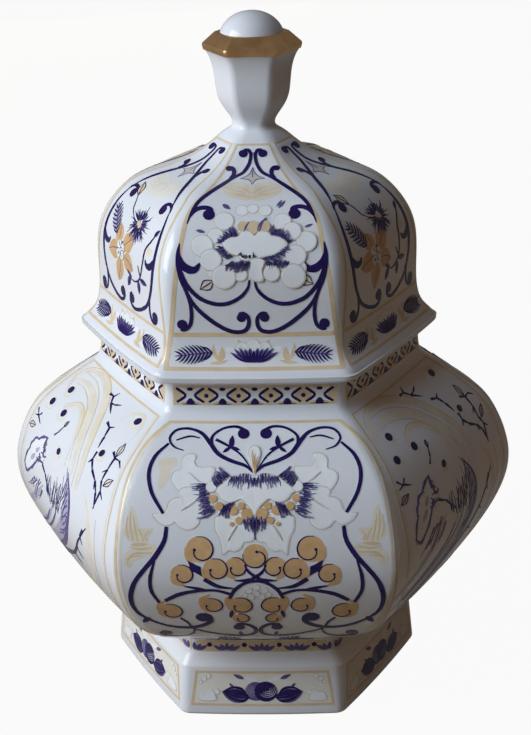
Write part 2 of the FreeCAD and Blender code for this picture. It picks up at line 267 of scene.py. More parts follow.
def inward(outline, wall):
    """An outline moved inwards by a wall. The outside lies to the right of the way that it runs up."""
    along = np.gradient(outline, axis=0)
    along /= np.linalg.norm(along, axis=1)[:, None]
    return outline - wall * np.stack([along[:, 1], -along[:, 0]], 1)


def belly_outline():
    """The body's outside from its base to the neck's start."""
    poles = [(mix(BASE_APOTHEM, BELLY_APOTHEM, across), FOOT_TOP + up * BELLY_HEIGHT)
             for across, up in LOWER_BELLY_SHARES]
    poles += [(mix(NECK_APOTHEM, BELLY_APOTHEM, across), FOOT_TOP + up * BELLY_HEIGHT)
              for across, up in UPPER_BELLY_SHARES]
    poles.append((NECK_APOTHEM, mix(FOOT_TOP + BELLY_HEIGHT, JAR_TOP, NECK_START_SHARE)))
    return spline(poles, BELLY_STEPS)


def dome_outline():
    """The lid's outside from its lip to its crown."""
    poles = [(mix(LID_APOTHEM, LIP_APOTHEM, across), LID_BOTTOM + up * LID_RISE)
             for across, up in FLARE_SHARES]
    poles += [(mix(CROWN_APOTHEM, LID_APOTHEM, across), LID_BOTTOM + up * LID_RISE)
              for across, up in DOME_SHARES]
    return spline(poles, DOME_STEPS)


def belly_ridge(height):
    """The body's ridge radius, which grows towards the base."""
    rise = np.clip((np.asarray(height) - FOOT_TOP) / (LOW_RIDGE_SHARE * BELLY_HEIGHT), 0, 1)
    return mix(LOW_RIDGE, JAR_RIDGE, rise * rise * (3 - 2 * rise))


def build_foot(material):
    """The hollow foot with its ledge and waist."""
    outline = rounded([
        (FOOT_APOTHEM - FOOT_WALL, 0, 0),
        (FOOT_APOTHEM, 0, RIM_ROUND),
        (LEDGE_APOTHEM, LEDGE_HEIGHT - LEDGE_BEVEL, 2.4),
        (WAIST_APOTHEM + 0.8, LEDGE_HEIGHT, 0.7),
        (WAIST_APOTHEM, LEDGE_HEIGHT + 0.5, 0.4),
        (WAIST_APOTHEM, FOOT_TOP, 0.3),
        (WAIST_APOTHEM - FOOT_WALL, FOOT_TOP, 0.3),
        (FOOT_APOTHEM - FOOT_WALL, 0.6, 0)])
    new_piece("foot_porcelain", *shell(outline, JAR_RIDGE, True), "jar", "porcelain", material, ["foot"])


def build_jar(material):
    """The jar's body: belly, neck, cavity and floor."""
    outside = belly_outline()
    inside = inward(outside, BODY_WALL)
    inside = inside[inside[:, 1] > FOOT_TOP + FLOOR_THICKNESS + 2 * EDGE_ROUND]
    rim = rounded([
        (NECK_APOTHEM, outside[-1, 1] + 1, 0),
        (NECK_APOTHEM, JAR_TOP, RIM_ROUND),
        (NECK_APOTHEM - BODY_WALL, JAR_TOP, RIM_ROUND),
        (NECK_APOTHEM - BODY_WALL, inside[-1, 1] + 1, 0)])
    floor = rounded([
        tuple(inside[0]) + (0,),
        (inside[0, 0] - 2, FOOT_TOP + FLOOR_THICKNESS, EDGE_ROUND),
        (CENTRE_APOTHEM, FOOT_TOP + FLOOR_THICKNESS, 0)])
    base = [(CENTRE_APOTHEM, FOOT_TOP), (BASE_APOTHEM - 0.4, FOOT_TOP)]
    outline = np.concatenate([base, outside, rim, inside[::-1], floor])
    ridges = np.concatenate([
        np.full(2, LOW_RIDGE), belly_ridge(outside[:, 1]), np.full(len(rim), JAR_RIDGE),
        np.full(len(inside) + len(floor), CAVITY_RIDGE)])
    new_piece("jar_porcelain", *shell(outline, ridges, False), "jar", "porcelain", material, ["jar_body"])


def build_dome(material):
    """The lid's dome with its flared lip and the hollow under it."""
    outside = dome_outline()
    inside = inward(outside, LID_WALL)
    seat = LID_BOTTOM + LIP_DROP
    hollow = (inside[:, 1] > seat + 6) & (inside[:, 1] < LID_TOP - CROWN_THICKNESS)
    inside = inside[hollow]
    lip = rounded([
        (FLANGE_APOTHEM - FLANGE_WALL, seat + 4, 0),
        (FLANGE_APOTHEM - FLANGE_WALL, seat, 0.5),
        (LIP_APOTHEM - LIP_WALL, seat, 0.5),
        (LIP_APOTHEM - LIP_WALL, LID_BOTTOM, 1.0),
        (LIP_APOTHEM - 0.2, LID_BOTTOM, LIP_ROUND),
        (LIP_APOTHEM + 0.1, LID_BOTTOM + 3, 0)])
    start = int(np.argmax(outside[:, 1] > LID_BOTTOM + 3))
    ceiling, crown = (CENTRE_APOTHEM, LID_TOP - CROWN_THICKNESS), (CENTRE_APOTHEM, LID_TOP)
    outline = np.concatenate([[ceiling], inside[::-1], lip, outside[start:], [crown]])
    ridges = np.concatenate([
        np.full(1 + len(inside), CAVITY_RIDGE), np.full(len(lip) + len(outside) - start + 1, LID_RIDGE)])
    new_piece("lid_porcelain", *shell(outline, ridges, False), "lid", "porcelain", material, ["lid_dome"])


def build_flange(material):
    """The ring under the lid that keeps it in the neck."""
    top = LID_BOTTOM + LIP_DROP
    outline = rounded([
        (FLANGE_APOTHEM - FLANGE_WALL, top, 0),
        (FLANGE_APOTHEM - FLANGE_WALL, FLANGE_BOTTOM, EDGE_ROUND),
        (FLANGE_APOTHEM, FLANGE_BOTTOM, EDGE_ROUND),
        (FLANGE_APOTHEM, top, 0)])
    skin = shell(outline, CAVITY_RIDGE, True)
    new_piece("flange_porcelain", *skin, "lid", "porcelain", material, ["lid_flange"])


def build_finial(material, gilt):
    """The finial: a six-sided stem and cup, a gilt collar and a round button."""
    poles = [(mix(STEM_APOTHEM, CROWN_APOTHEM, across), LID_TOP + up * CUP_HEIGHT)
             for across, up in STEM_SHARES]
    poles += [(mix(STEM_APOTHEM, CUP_APOTHEM, across), LID_TOP + up * CUP_HEIGHT)
              for across, up in CUP_SHARES]
    cup = spline(poles, CUP_STEPS)
    level = LID_TOP + CUP_HEIGHT
    collar = rounded([
        (COLLAR_HOLE, level - 0.3, 0),
        (CUP_APOTHEM, level - 0.3, 0),
        (COLLAR_APOTHEM, level + COLLAR_EDGE_LOW, 0.8),
        (COLLAR_APOTHEM, level + COLLAR_EDGE_HIGH, 0.9),
        (COLLAR_TOP_APOTHEM, level + COLLAR_HEIGHT, 0.5),
        (COLLAR_HOLE, level + COLLAR_HEIGHT, 0)])
    outline = np.concatenate([cup, [(CENTRE_APOTHEM, level)]])
    soft = np.clip(1 - (outline[:, 1] - LID_TOP) / (0.25 * CUP_HEIGHT), 0, 1)
    ridges = mix(FINIAL_RIDGE, LID_RIDGE, soft)
    new_piece("finial_cup", *shell(outline, ridges, False), "lid", "porcelain", material, ["finial"])
    new_piece("finial_collar", *shell(collar, COLLAR_RIDGE, True), "lid", "gilt", gilt)
    button_bottom = level + COLLAR_HEIGHT - 0.4
    build_button(material, button_bottom, BUTTON_RADIUS, FINIAL_TOP - 0.05 - button_bottom)


def build_button(material, bottom, radius, rise):
    """The round button on the collar."""
    poles = [(across * radius, bottom + up * rise) for across, up in BUTTON_SHARES]
    outline = spline(poles, BUTTON_STEPS)[:-1]
    vertices = [(0.0, 0.0, bottom), (0.0, 0.0, bottom + rise)]
    for apothem, height in outline:
        for step in range(BUTTON_SIDES):
            turn = 2 * math.pi * step / BUTTON_SIDES
            vertices.append((apothem * math.cos(turn), apothem * math.sin(turn), height))
    faces = []
    last = 2 + (len(outline) - 1) * BUTTON_SIDES
    for low in range(2, last, BUTTON_SIDES):
        high = low + BUTTON_SIDES
        for step in range(BUTTON_SIDES):
            after = (step + 1) % BUTTON_SIDES
            faces.append((low + step, low + after, high + after, high + step))
    for step in range(BUTTON_SIDES):
        after = (step + 1) % BUTTON_SIDES
        faces += [(0, 2 + after, 2 + step), (1, last + step, last + after)]
    new_piece("finial_button", vertices, faces, "lid", "porcelain", material)


# Ornament. Shapes are laid out flat on a panel, across it from its middle and up along the jar's outline,
# and then wrapped onto the faces. An ink has its slot, the lift that keeps it clear of the ink below it,
# its light and dark colours, and the scale of its grain and its roughness.
LINE_STEP = 0.9
FILL_STEP = 1.5
SKIRT = 0.06
BEAD_SHARES = ((0.0, 0.03), (0.45, 0.036), (0.72, 0.05), (0.86, 0.078), (0.94, 0.084), (1.0, -0.012))
INKS = {
    "cream": ("beige", 0.02, (0.83, 0.81, 0.77), (0.78, 0.755, 0.71), 120, 0.26),
    "white": ("porcelain", 0.03, (0.87, 0.895, 0.93), (0.83, 0.855, 0.895), 90, 0.2),
    "pale": ("beige", 0.04, (0.82, 0.76, 0.66), (0.75, 0.68, 0.57), 160, 0.3),
    "haze": ("cobalt", 0.05, (0.52, 0.50, 0.66), (0.42, 0.40, 0.57), 150, 0.28),
    "beige": ("beige", 0.06, (0.74, 0.60, 0.41), (0.66, 0.52, 0.34), 220, 0.28),
    # The outline ink is a printed grey-beige. Round the relief shapes it also stands as painted shade at
    # their raised edges.
    "outline": ("beige", 0.08, (0.66, 0.61, 0.56), (0.58, 0.53, 0.48), 220, 0.3),
    "ochre": ("ochre", 0.1, (0.69, 0.45, 0.24), (0.59, 0.37, 0.18), 260, 0.32),
    "slate": ("cobalt", 0.13, (0.13, 0.11, 0.30), (0.09, 0.075, 0.23), 300, 0.28),
    "cobalt": ("cobalt", 0.16, (0.022, 0.012, 0.115), (0.012, 0.006, 0.07), 300, 0.22)}
LAYER = 0.2
PETAL_LAYER = 0.03
# Width of the grey-beige ring round a relief shape: partly its printed outline, partly painted shade at its
# raised edge.
RIM_OUTLINE_AND_SHADE_WIDTH = 0.45
scatter = np.random.default_rng(11)


def smooth_line(points, closed=False):
    """A smooth line through points, sampled in short even steps."""
    points = np.array(points, float)
    if closed:
        padded = np.concatenate([points[-1:], points, points[:2]])
    else:
        padded = np.concatenate([[2 * points[0] - points[1]], points, [2 * points[-1] - points[-2]]])
    samples = []
    for before, start, end, after in zip(padded, padded[1:], padded[2:], padded[3:]):
        count = max(2, math.ceil(np.linalg.norm(end - start) / LINE_STEP))
        u = np.linspace(0, 1, count, endpoint=False)[:, None]
        samples.append(start + u * (end - before) / 2 + u ** 2 * (before - 2.5 * start + 2 * end - after / 2)
                       + u ** 3 * (1.5 * (start - end) + (after - before) / 2))
    if not closed:
        samples.append(points[-1:])
    return np.concatenate(samples)


def arc(centre, radii, start, end, count=13):
    """Points along an oval round a centre, between two angles in degrees."""
    angles = np.radians(np.linspace(start, end, count))
    return np.stack([centre[0] + radii[0] * np.cos(angles), centre[1] + radii[1] * np.sin(angles)], 1)


class Panel:
    """The flat shapes of one panel design, collected by ink."""

    def __init__(self, mirror=True):
        self.shapes = []
        self.mirror = mirror

    def add(self, ink, places, faces, heights, mirror):
        """Keep a shape, and its mirror image where the panel or the call asks for it."""
        heights = np.broadcast_to(heights, len(places)) + INKS[ink][1]
        self.shapes.append((ink, places, faces, heights))
        if self.mirror if mirror is None else mirror:
            self.shapes.append((ink, places * np.array([-1, 1]), [face[::-1] for face in faces], heights))

    def grid(self, ink, places, rows, columns, heights, mirror):
        """Keep a shape that is a grid of places, its rows going up and its columns across."""
        faces = [(i * columns + j, i * columns + j + 1, (i + 1) * columns + j + 1, (i + 1) * columns + j)
                 for i in range(rows - 1) for j in range(columns - 1)]
        self.add(ink, np.reshape(places, (-1, 2)), faces, heights, mirror)

    def line(self, ink, points, widths, mirror=None, over=0.0, closed=False):
        """A stroke along a smooth line. Its widths are spread evenly from its start to its end."""
        spine = smooth_line(points, closed)
        if closed:
            spine = np.concatenate([spine, spine[:1]])
        along = np.gradient(spine, axis=0)
        if closed:
            along[0] = along[-1] = spine[1] - spine[-2]
        along /= np.linalg.norm(along, axis=1)[:, None] + 1e-9
        side = np.stack([-along[:, 1], along[:, 0]], 1)
        run = np.concatenate([[0], np.cumsum(np.linalg.norm(np.diff(spine, axis=0), axis=1))])
        widths = np.atleast_1d(widths)
        width = np.interp(run / run[-1], np.linspace(0, 1, len(widths)), widths)
        across = max(1, math.ceil(width.max() / FILL_STEP))
        shares = np.linspace(0.5, -0.5, across + 1)
        places = spine[:, None] + side[:, None] * (width[:, None] * shares)[:, :, None]
        self.grid(ink, places, len(spine), across + 1, over, mirror)

    def leaf(self, ink, base, tip, width, bend=0.0, mirror=None, over=0.0):
        """A pointed leaf from its base to its tip, bent to the left of that way by a share of its length."""
        base, tip = np.array(base, float), np.array(tip, float)
        run = tip - base
        middle = (base + tip) / 2 + bend * np.array([-run[1], run[0]])
        widths = width * np.sin(np.pi * np.linspace(0, 1, 9) ** 0.85) ** 0.8
        self.line(ink, [base, middle, tip], np.maximum(widths, 0.08), mirror, over)

    def outlined_leaf(self, base, tip, width, mirror=None, ink="beige"):
        """A light leaf with a dark edge and vein."""
        base, tip = np.array(base, float), np.array(tip, float)
        side = np.array([base[1] - tip[1], tip[0] - base[0]])
        side *= 0.5 * width / np.linalg.norm(side)
        self.leaf(ink, base, tip, width, 0, mirror)
        for share in (-1, 0, 1):
            self.line("cobalt", [base, (base + tip) / 2 + share * side, tip], (0.3, 0.45, 0.2), mirror)

    def fill(self, ink, centre, edge, mirror, over=0.0, relief=False):
        """A filled shape from its centre to its edge, flat or with a raised bead and a grey-beige line round
        it, which is partly a printed outline and partly painted shade at the relief's raised edge.
        """
        edge, centre = np.asarray(edge, float), np.asarray(centre, float)
        if relief:
            shares = BEAD_SHARES[1:]
        else:
            reach = np.linalg.norm(edge - centre, axis=1).max()
            shares = [(share, 0.0) for share in np.linspace(0, 1, math.ceil(reach / FILL_STEP) + 1)[1:]]
        count = len(edge)
        places = [centre[None]] + [centre + share * (edge - centre) for share, _ in shares]
        base = BEAD_SHARES[0][1] if relief else 0.0
        heights = np.concatenate([[base]] + [np.full(count, height) for _, height in shares])
        faces = [(0, 1 + step, 1 + (step + 1) % count) for step in range(count)]
        for ring in range(len(shares) - 1):
            low, high = 1 + ring * count, 1 + (ring + 1) * count
            for step in range(count):
                after = (step + 1) % count
                faces.append((low + step, high + step, high + after, low + after))
        self.add(ink, np.concatenate(places), faces, heights + over, mirror)
        if relief:
            # The ring round a relief is partly its printed outline and partly painted shade where the raised
            # edge meets the glaze.
            self.line("outline", edge, RIM_OUTLINE_AND_SHADE_WIDTH, mirror, over, True)

    def dot(self, ink, centre, radius, mirror=None, squash=1.0, turn=0.0, over=0.0, relief=False):
        """A round or oval spot."""
        count = int(np.clip(2 * math.pi * radius / LINE_STEP, 10, 36))
        angles = np.linspace(0, 2 * math.pi, count, endpoint=False)
        across, up = radius * np.cos(angles), radius * squash * np.sin(angles)
        edge = np.stack([across * math.cos(turn) - up * math.sin(turn),
                         across * math.sin(turn) + up * math.cos(turn)], 1) + centre
        self.fill(ink, centre, edge, mirror, over, relief)

    def patch(self, ink, centre, corners, mirror=None, over=0.0, relief=False):
        """A filled shape with a smooth edge through corners, given anticlockwise round its centre."""
        self.fill(ink, centre, smooth_line(corners, True), mirror, over, relief)

    def star(self, ink, centre, tips, pinch, mirror=None, over=0.0):
        """A filled star with hollow sides. Its tips are given anticlockwise."""
        centre, tips = np.array(centre, float), np.array(tips, float)
        edge = []
        for tip, after in zip(tips, np.roll(tips, -1, axis=0)):
            hollow = mix((tip + after) / 2, centre, pinch)
            for u in np.linspace(0, 1, 6, endpoint=False):
                edge.append(mix(mix(tip, hollow, u), mix(hollow, after, u), u))
        self.fill(ink, centre, edge, mirror, over)

    def block(self, ink, corners, mirror=False, over=0.0):
        """A four-sided ground, given anticlockwise from its lower left corner."""
        corners = np.array(corners, float)
        columns = math.ceil(np.linalg.norm(corners[1] - corners[0]) / 3) + 1
        rows = math.ceil(np.linalg.norm(corners[3] - corners[0]) / FILL_STEP) + 1
        left = mix(corners[0], corners[3], np.linspace(0, 1, rows)[:, None])
        right = mix(corners[1], corners[2], np.linspace(0, 1, rows)[:, None])
        places = mix(left[:, None], right[:, None], np.linspace(0, 1, columns)[None, :, None])
        self.grid(ink, places, rows, columns, over, mirror)

    def hatch(self, ink, roots, tips, count, width=0.4, mirror=None, over=LAYER):
        """Fine ragged strokes from points along one line to points along another."""
        roots, tips = smooth_line(roots), smooth_line(tips)
        for share in np.linspace(0, 1, count):
            ends = []
            for line in (roots, tips):
                place = np.clip(share + scatter.uniform(-1, 1) / count, 0, 1) * (len(line) - 1)
                spot = [np.interp(place, range(len(line)), line[:, axis]) for axis in (0, 1)]
                ends.append(np.array(spot))
            start = mix(ends[0], ends[1], scatter.uniform(-0.1, 0.35))
            end = mix(ends[0], ends[1], scatter.uniform(0.6, 1.15))
            lean = np.array([start[1] - end[1], end[0] - start[0]]) * scatter.uniform(-0.14, 0.14)
            self.line(ink, [start, (start + end) / 2 + lean, end], (width, 0.8 * width, 0.1), mirror, over)

    def curl(self, centre, radius, tail, start=75, sweep=280, mirror=None):
        """An ochre curl: a round spot with a tail, and a dark spiral line in from its edge."""
        self.dot("ochre", centre, radius, mirror)
        if tail:
            self.line("ochre", tail, (0.66 * radius, 0.5 * radius, 0.8), mirror)
        angles = np.radians(start + sweep * np.linspace(0, 1, 9))
        reach = radius * np.array([1.0, 1.0, 1.0, 0.99, 0.95, 0.87, 0.73, 0.55, 0.38])
        points = np.stack([np.cos(angles), np.sin(angles)], 1) * reach[:, None] + centre
        self.line("cobalt", points, (0.25, 0.5, 0.65, 0.6, 0.5), mirror)
        self.dot("cobalt", points[-1], 0.12 * radius, mirror)

    def strokes(self, ink, table, mirror=None, over=0.0):
        """Several lines, each given as its widths and its points."""
        for widths, points in table:
            self.line(ink, points, widths, mirror, over)

    def dots(self, ink, table, mirror=None, over=0.0, relief=False):
        """Several round spots, each given as its centre and radius."""
        for across, up, radius in table:
            self.dot(ink, (across, up), radius, mirror, over=over, relief=relief)

    def leaves(self, ink, table, mirror=None, over=0.0):
        """Several leaves, each given as its base, tip, width and, where it has one, its bend."""
        for base, tip, width, *bend in table:
            self.leaf(ink, base, tip, width, sum(bend), mirror, over)


def zone(outline, ridges):
    """A stretch of skin that ornament is wrapped onto: its outline and ridge radii by length along it."""
    outline = np.asarray(outline, float)
    run = np.concatenate([[0], np.cumsum(np.linalg.norm(np.diff(outline, axis=0), axis=1))])
    along = np.gradient(outline, axis=0)
    along /= np.linalg.norm(along, axis=1)[:, None]
    return {"run": run, "columns": [outline[:, 0], outline[:, 1], along[:, 0], along[:, 1],
                                    np.broadcast_to(ridges, run.shape)]}


def wrap(skin, face, places, heights, rise):
    """Wrap flat places onto a face of a zone, each at its height above the glaze."""
    apothem, level, out, up, ridge = (
        np.interp(places[:, 1] + rise, skin["run"], column) for column in skin["columns"])
    x, y, way_x, way_y = section(apothem, ridge, places[:, 0])
    x, y, z = x + heights * way_x * up, y + heights * way_y * up, level - heights * out
    turn = face * FACE_TURN
    return np.stack([x * math.cos(turn) - y * math.sin(turn), x * math.sin(turn) + y * math.cos(turn), z], 1)


def rim_of(faces):
    """The directed edges that only one face has."""
    edges = {pair for face in faces for pair in zip(face, face[1:] + face[:1])}
    return sorted(pair for pair in edges if (pair[1], pair[0]) not in edges)


def print_panels(name, skin, designs, body, inks, rise=0.0):
    """Wrap designs onto a zone's faces in turn, skirted into the glaze, and make a piece of each ink."""
    gathered = {}
    for face in range(FACES):
        for ink, places, faces, heights in designs[face % len(designs)].shapes:
            blocks, polygons = gathered.setdefault(ink, ([], []))
            start = sum(map(len, blocks))
            polygons += [tuple(start + corner for corner in polygon) for polygon in faces]
            rim = rim_of(faces)
            under = sorted({corner for pair in rim for corner in pair})
            lower = {corner: start + len(places) + number for number, corner in enumerate(under)}
            polygons += [(start + b, start + a, lower[a], lower[b]) for a, b in rim]
            blocks.append(wrap(skin, face, places, heights, rise))
            blocks.append(wrap(skin, face, places[under], np.full(len(under), -SKIRT), rise))
    for ink, (blocks, polygons) in gathered.items():
        new_piece(f"{name}_{ink}", np.concatenate(blocks), polygons, body, INKS[ink][0], inks[ink])


# The lid's panels.
LID_SPRIGS = (((14.4, 9.6), (12.6, 16), 2.6, 0.1), ((14.2, 10.4), (16.2, 17.4), 1.6, -0.1))
LID_PALM = ((9.4, 13.8, 2), (7.8, 15.2, 2), (5.8, 15.6, 2.1), (3.6, 15.2, 2.1), (1.6, 15.6, 2))
LID_EDGE = (
    (6.6, 110.3), (9.2, 103.7), (12.2, 96), (16.2, 87), (19.6, 80.4), (23.3, 74.6), (25.8, 68),
    (27.4, 60.5), (30.4, 43), (32.6, 25), (35.4, 7))
LID_EDGE_WIDTHS = (0.9, 1, 1.2, 1.5, 1.8, 1.9, 1.9, 1.9, 1.9, 1.9)
LID_SCROLLS = (
    ((1.4, 1.45, 1.6, 1.9, 1.8, 1.4, 0.4),
     ((0.9, 106.5), (1, 103.5), (1.8, 100), (4, 95.7), (8, 92.4), (12, 88.1), (17, 82.4), (21, 77.3),
      (23.6, 72.1), (25.5, 66.5))),
    ((1.3, 1.5, 1.7), ((1, 105.9), (1.9, 107.6), (3.6, 107.4))),
    ((1.4, 1.5, 1.8, 2, 0.6), ((9, 91.9), (7.6, 95.1), (8, 97.8), (9.4, 98.8), (11, 98.2))),
    ((0.6, 1.7, 2, 2.1, 1.6), ((24.8, 69), (22.8, 72.4), (19.6, 74), (16.4, 73.4), (15.8, 71.4))),
    ((0.5, 1.7, 2.3, 2, 1.6, 1.4, 1.4, 1.5, 1.5, 1.2),
     ((28.4, 58.5), (29, 54), (28.7, 49), (27.8, 44), (26, 39), (24.7, 34), (24.4, 29), (25.2, 25),
      (27.3, 23), (29, 23.3))),
    ((0.6, 1.4, 1.7, 1.7, 1.7, 1.6, 1.4, 0.8),
     ((28.6, 50), (26.5, 43.5), (23.5, 39), (19.6, 35.8), (14, 34), (9, 34.6), (4.5, 37.2), (1.8, 40.6),
      (1, 44))),
    ((0.6, 2.2, 3, 3.3, 2.4, 0.8), ((28.9, 55), (27.8, 50.8), (25.2, 48.4), (22.4, 48.2), (20.2, 50.8))),
    ((0.5, 1.4, 1.7, 1.8, 1.7, 1.7, 1.7, 1.5, 1.2),
     ((25.6, 39), (23.4, 34), (20, 30), (15, 25.8), (10, 22.9), (6, 22.1), (3, 23), (1.7, 25.6),
      (2, 28.6), (3.8, 30.2), (5.6, 29.8))))
LID_BLOBS = ((4, 105.9, 1.9), (9.6, 98.2, 1.5), (16.9, 70.6, 2.4), (28.3, 25.3, 2.1), (4.6, 28.3, 1.9))
LID_PETALS = (
    (-3.7, 72.5, 2.5), (0.5, 73.3, 2.2), (5.4, 72.4, 2.5), (-10.8, 67.8, 3.8), (-14.1, 61.6, 3.1),
    (-15.4, 47.3, 2.4), (-19.4, 57.6, 4.3), (-16.1, 52, 4.2), (-4.5, 46.2, 2.6), (-11, 45.2, 4.7),
    (12.1, 67.1, 3.5), (18.4, 48.4, 2.9), (21.5, 58.8, 4), (17.3, 53.4, 4), (15.9, 63, 3.6),
    (16.2, 45.3, 4.8), (7.8, 46.6, 3.1))
LID_HEART = (
    (13.9, 57.6), (11, 60.6), (8, 61.2), (6.1, 62.9), (3.1, 63.1), (1.2, 61.3), (-1, 63.2), (-4, 63),
    (-5.6, 60.9), (-9.3, 60.5), (-11.6, 58.2), (-8.5, 54.6), (-5.6, 53.6), (-4.1, 52.1), (-1, 51.8),
    (1.4, 53.8), (3, 52.7), (5.7, 53.2), (9.8, 54.3))
LID_FLECKS = (
    ((10.6, 73.4), (13.3, 77.2), 1.3), ((9.8, 74.2), (12, 77.6), 0.9), ((-11.6, 75.7), (-8.4, 73.2), 2),
    ((-21.9, 63.9), (-18.2, 63), 1.4), ((20.8, 64.6), (24, 65.9), 1.1))
LID_MIDDLE_PETAL = ((4.9, 52), (3.9, 48), (4.4, 44), (1.8, 43.4), (-0.6, 45), (0.3, 48), (-0.4, 52))
LID_HAIRS = (
    ((-3, 62.8), (-0.8, 67.2), 0.7, 0.05), ((3, 62.6), (5.6, 69), 0.7, 0.05),
    ((2.2, 63.4), (4.6, 68), 0.7, 0.05), ((7.4, 62), (8.6, 65.6), 0.7, 0.05))
HEART_ROOTS = ((-5.4, 53.8), (-3, 52.2), (0.8, 53))
HEART_TIPS = ((-4.6, 55), (-2, 53.6), (0.6, 55))
LID_FRINGES = (
    (((-5.5, 61.6), (-8.5, 60.5), (-11.5, 58.7)), ((-7, 65), (-10.8, 62.8), (-14.4, 58.9)), 34),
    (((-11.6, 57.5), (-10, 55.3), (-7.8, 53.4)), ((-14.6, 57.1), (-13.6, 54.9), (-10.4, 51.8)), 15),
    (((-0.4, 51), (-4, 51.4), (-7.9, 51.4)), ((-2.6, 47.6), (-7.1, 47.6), (-11.6, 49.2)), 22),
    (((8, 61.4), (11.4, 60.3), (14.4, 58.3)), ((9.5, 64.3), (13.4, 63), (16.2, 59.4)), 26),
    (((13.6, 57.1), (8.7, 53.8), (3.4, 52.5)), ((16, 55.8), (11.4, 52.4), (5.7, 51)), 24),
    (((5.3, 51.2), (9.5, 51.9), (14.7, 51)), ((6.4, 48.7), (10.4, 48.6), (13.4, 49)), 20))
FAN_EDGE = ((0.2, 77.4), (5, 77.4), (9.8, 79.6), (12, 84), (9.8, 87.6), (6, 88.8), (2.4, 88), (0.2, 85.6))
FAN_ROOTS = ((0.8, 78.4), (0.6, 80), (0.6, 82))
FAN_TIPS = ((9, 80), (11.4, 84.4), (3, 88))


def fan(panel, rise, ink, rib_ink):
    """A pale heart of two ribbed lobes."""
    lift = np.array([0, rise])
    panel.patch(ink, (5.2, 83 + rise), FAN_EDGE + lift, True)
    panel.hatch(rib_ink, FAN_ROOTS + lift, FAN_TIPS + lift, 12, 0.3, True, 0)


def fringes(panel, table, over=0.0, mirror=False):
    """Ragged bands of fine blue strokes, each given as its roots, tips and number of strokes."""
    for roots, tips, count in table:
        roots, tips = np.array(roots, float), np.array(tips, float)
        panel.hatch("slate", roots, mix(roots, tips, 1.1), count, 0.38, mirror, over)
        short = mix(roots, tips, 0.75)
        panel.hatch("cobalt", roots, short, round(0.8 * count), 0.2, mirror, over + PETAL_LAYER)


def gold_star(panel, centre, tips):
    """A dull gold four-pointed star with fine veins."""
    panel.star("outline", centre, tips, 0.62, False)
    for start, end in zip(tips, tips[1:] + tips[:1]):
        middle = mix((np.array(start) + end) / 2, np.array(centre, float), 0.4)
        panel.line("slate", [start, middle, end], (0.2, 0.45, 0.2), False)
    panel.line("slate", [tips[0], centre], (0.2, 0.5), False)


def feather_leaf(panel, base, tip, width, strokes=7, mirror=None):
    """A leaf of slanting strokes on both sides of its vein, over a paler ground."""
    base, tip = np.array(base, float), np.array(tip, float)
    run = tip - base
    side = np.array([-run[1], run[0]]) * width / np.linalg.norm(run) / 2
    panel.leaf("haze", base, tip, 0.4 * width, 0, mirror)
    panel.line("slate", [base, tip], (0.9, 0.7, 0.3), mirror)
    for share in np.linspace(0, 1, strokes):
        reach = math.sin(math.pi * (0.2 + 0.68 * share)) ** 0.7
        for way in (-1, 1):
            root = base + (0.02 + 0.78 * share) * run
            end = root + way * side * reach + run * 0.2
            panel.line("cobalt", [root, (root + end) / 2 + way * side * 0.08, end], (0.5, 0.85, 0.2), mirror)


def lid_frame(panel, weight):
    """The beige frame of a lid's panel, with the band of leaves along its foot."""
    panel.line("beige", LID_EDGE, weight * np.array(LID_EDGE_WIDTHS), True)
    for across, up, width in ((36.3, 7, 1.7 * weight), (33, 21, 1.9 * weight), (6.9, 110.2, 0.9)):
        panel.line("beige", [(-across, up), (across, up)], width, False)
    feather_leaf(panel, (16.4, 13.8), (31.6, 12.2), 7.8, 9, True)
    panel.leaves("beige", LID_SPRIGS, True)
    panel.line("beige", [(10.4, 10.6), (13, 9.8), (17.6, 9.4)], (0.3, 1.7, 0.3), True)
    panel.leaf("beige", (3.4, 14.6), (6.4, 19), 2, 0, True)
    panel.dot("white", (4.6, 15.4), 2.5, True, relief=True)
    panel.dot("white", (0, 16.2), 2.9, False, relief=True)
    panel.leaf("white", (7, 13.8), (11.6, 15.6), 2.6, 0, True)
    for across, up, width in LID_PALM:
        panel.leaf("slate", (0, 9.8), (across, up), width, -0.06, True, LAYER)
        panel.leaf("cobalt", (0, 9.8), (0.94 * across, up - 0.5), 0.45 * width, -0.1, True, LAYER)
    panel.leaf("cobalt", (0, 9.4), (0, 14.6), 1.6, 0, False, LAYER)


def lid_front():
    """The lid's front design: a peony between scrolls."""
    panel = Panel()
    lid_frame(panel, 1)
    panel.strokes("cobalt", LID_SCROLLS)
    panel.dots("cobalt", LID_BLOBS)
    gold_star(panel, (0, 92.8), [(0, 98.8), (-5, 91.9), (0, 87.9), (5, 91.9)])
    fan(panel, 0.8, "pale", "beige")
    panel.leaves("slate", LID_FLECKS, False)
    panel.outlined_leaf((-15.1, 43.8), (-20.6, 40.2), 4.2, False, "pale")
    panel.outlined_leaf((18.1, 45.3), (24, 41.8), 4.2, False, "pale")
    for number, (across, up, radius) in enumerate(LID_PETALS):
        panel.dot("white", (across, up), radius, False, over=number * PETAL_LAYER, relief=True)
    over = len(LID_PETALS) * PETAL_LAYER
    panel.patch("white", (2, 48), LID_MIDDLE_PETAL, False, over, True)
    panel.dots("beige", ((-3.4, 65.2, 2.2), (5, 65, 2.4)), False, over)
    panel.dot("beige", (0.7, 64.8), 2.2, False, 1.3, over=over)
    fringes(panel, LID_FRINGES, over)
    panel.leaves("slate", LID_HAIRS, False, over)
    panel.patch("white", (1.2, 57.6), LID_HEART, False, over + PETAL_LAYER, True)
    panel.hatch("cobalt", HEART_ROOTS, HEART_TIPS, 14, 0.35, False, over + LAYER)
    return panel


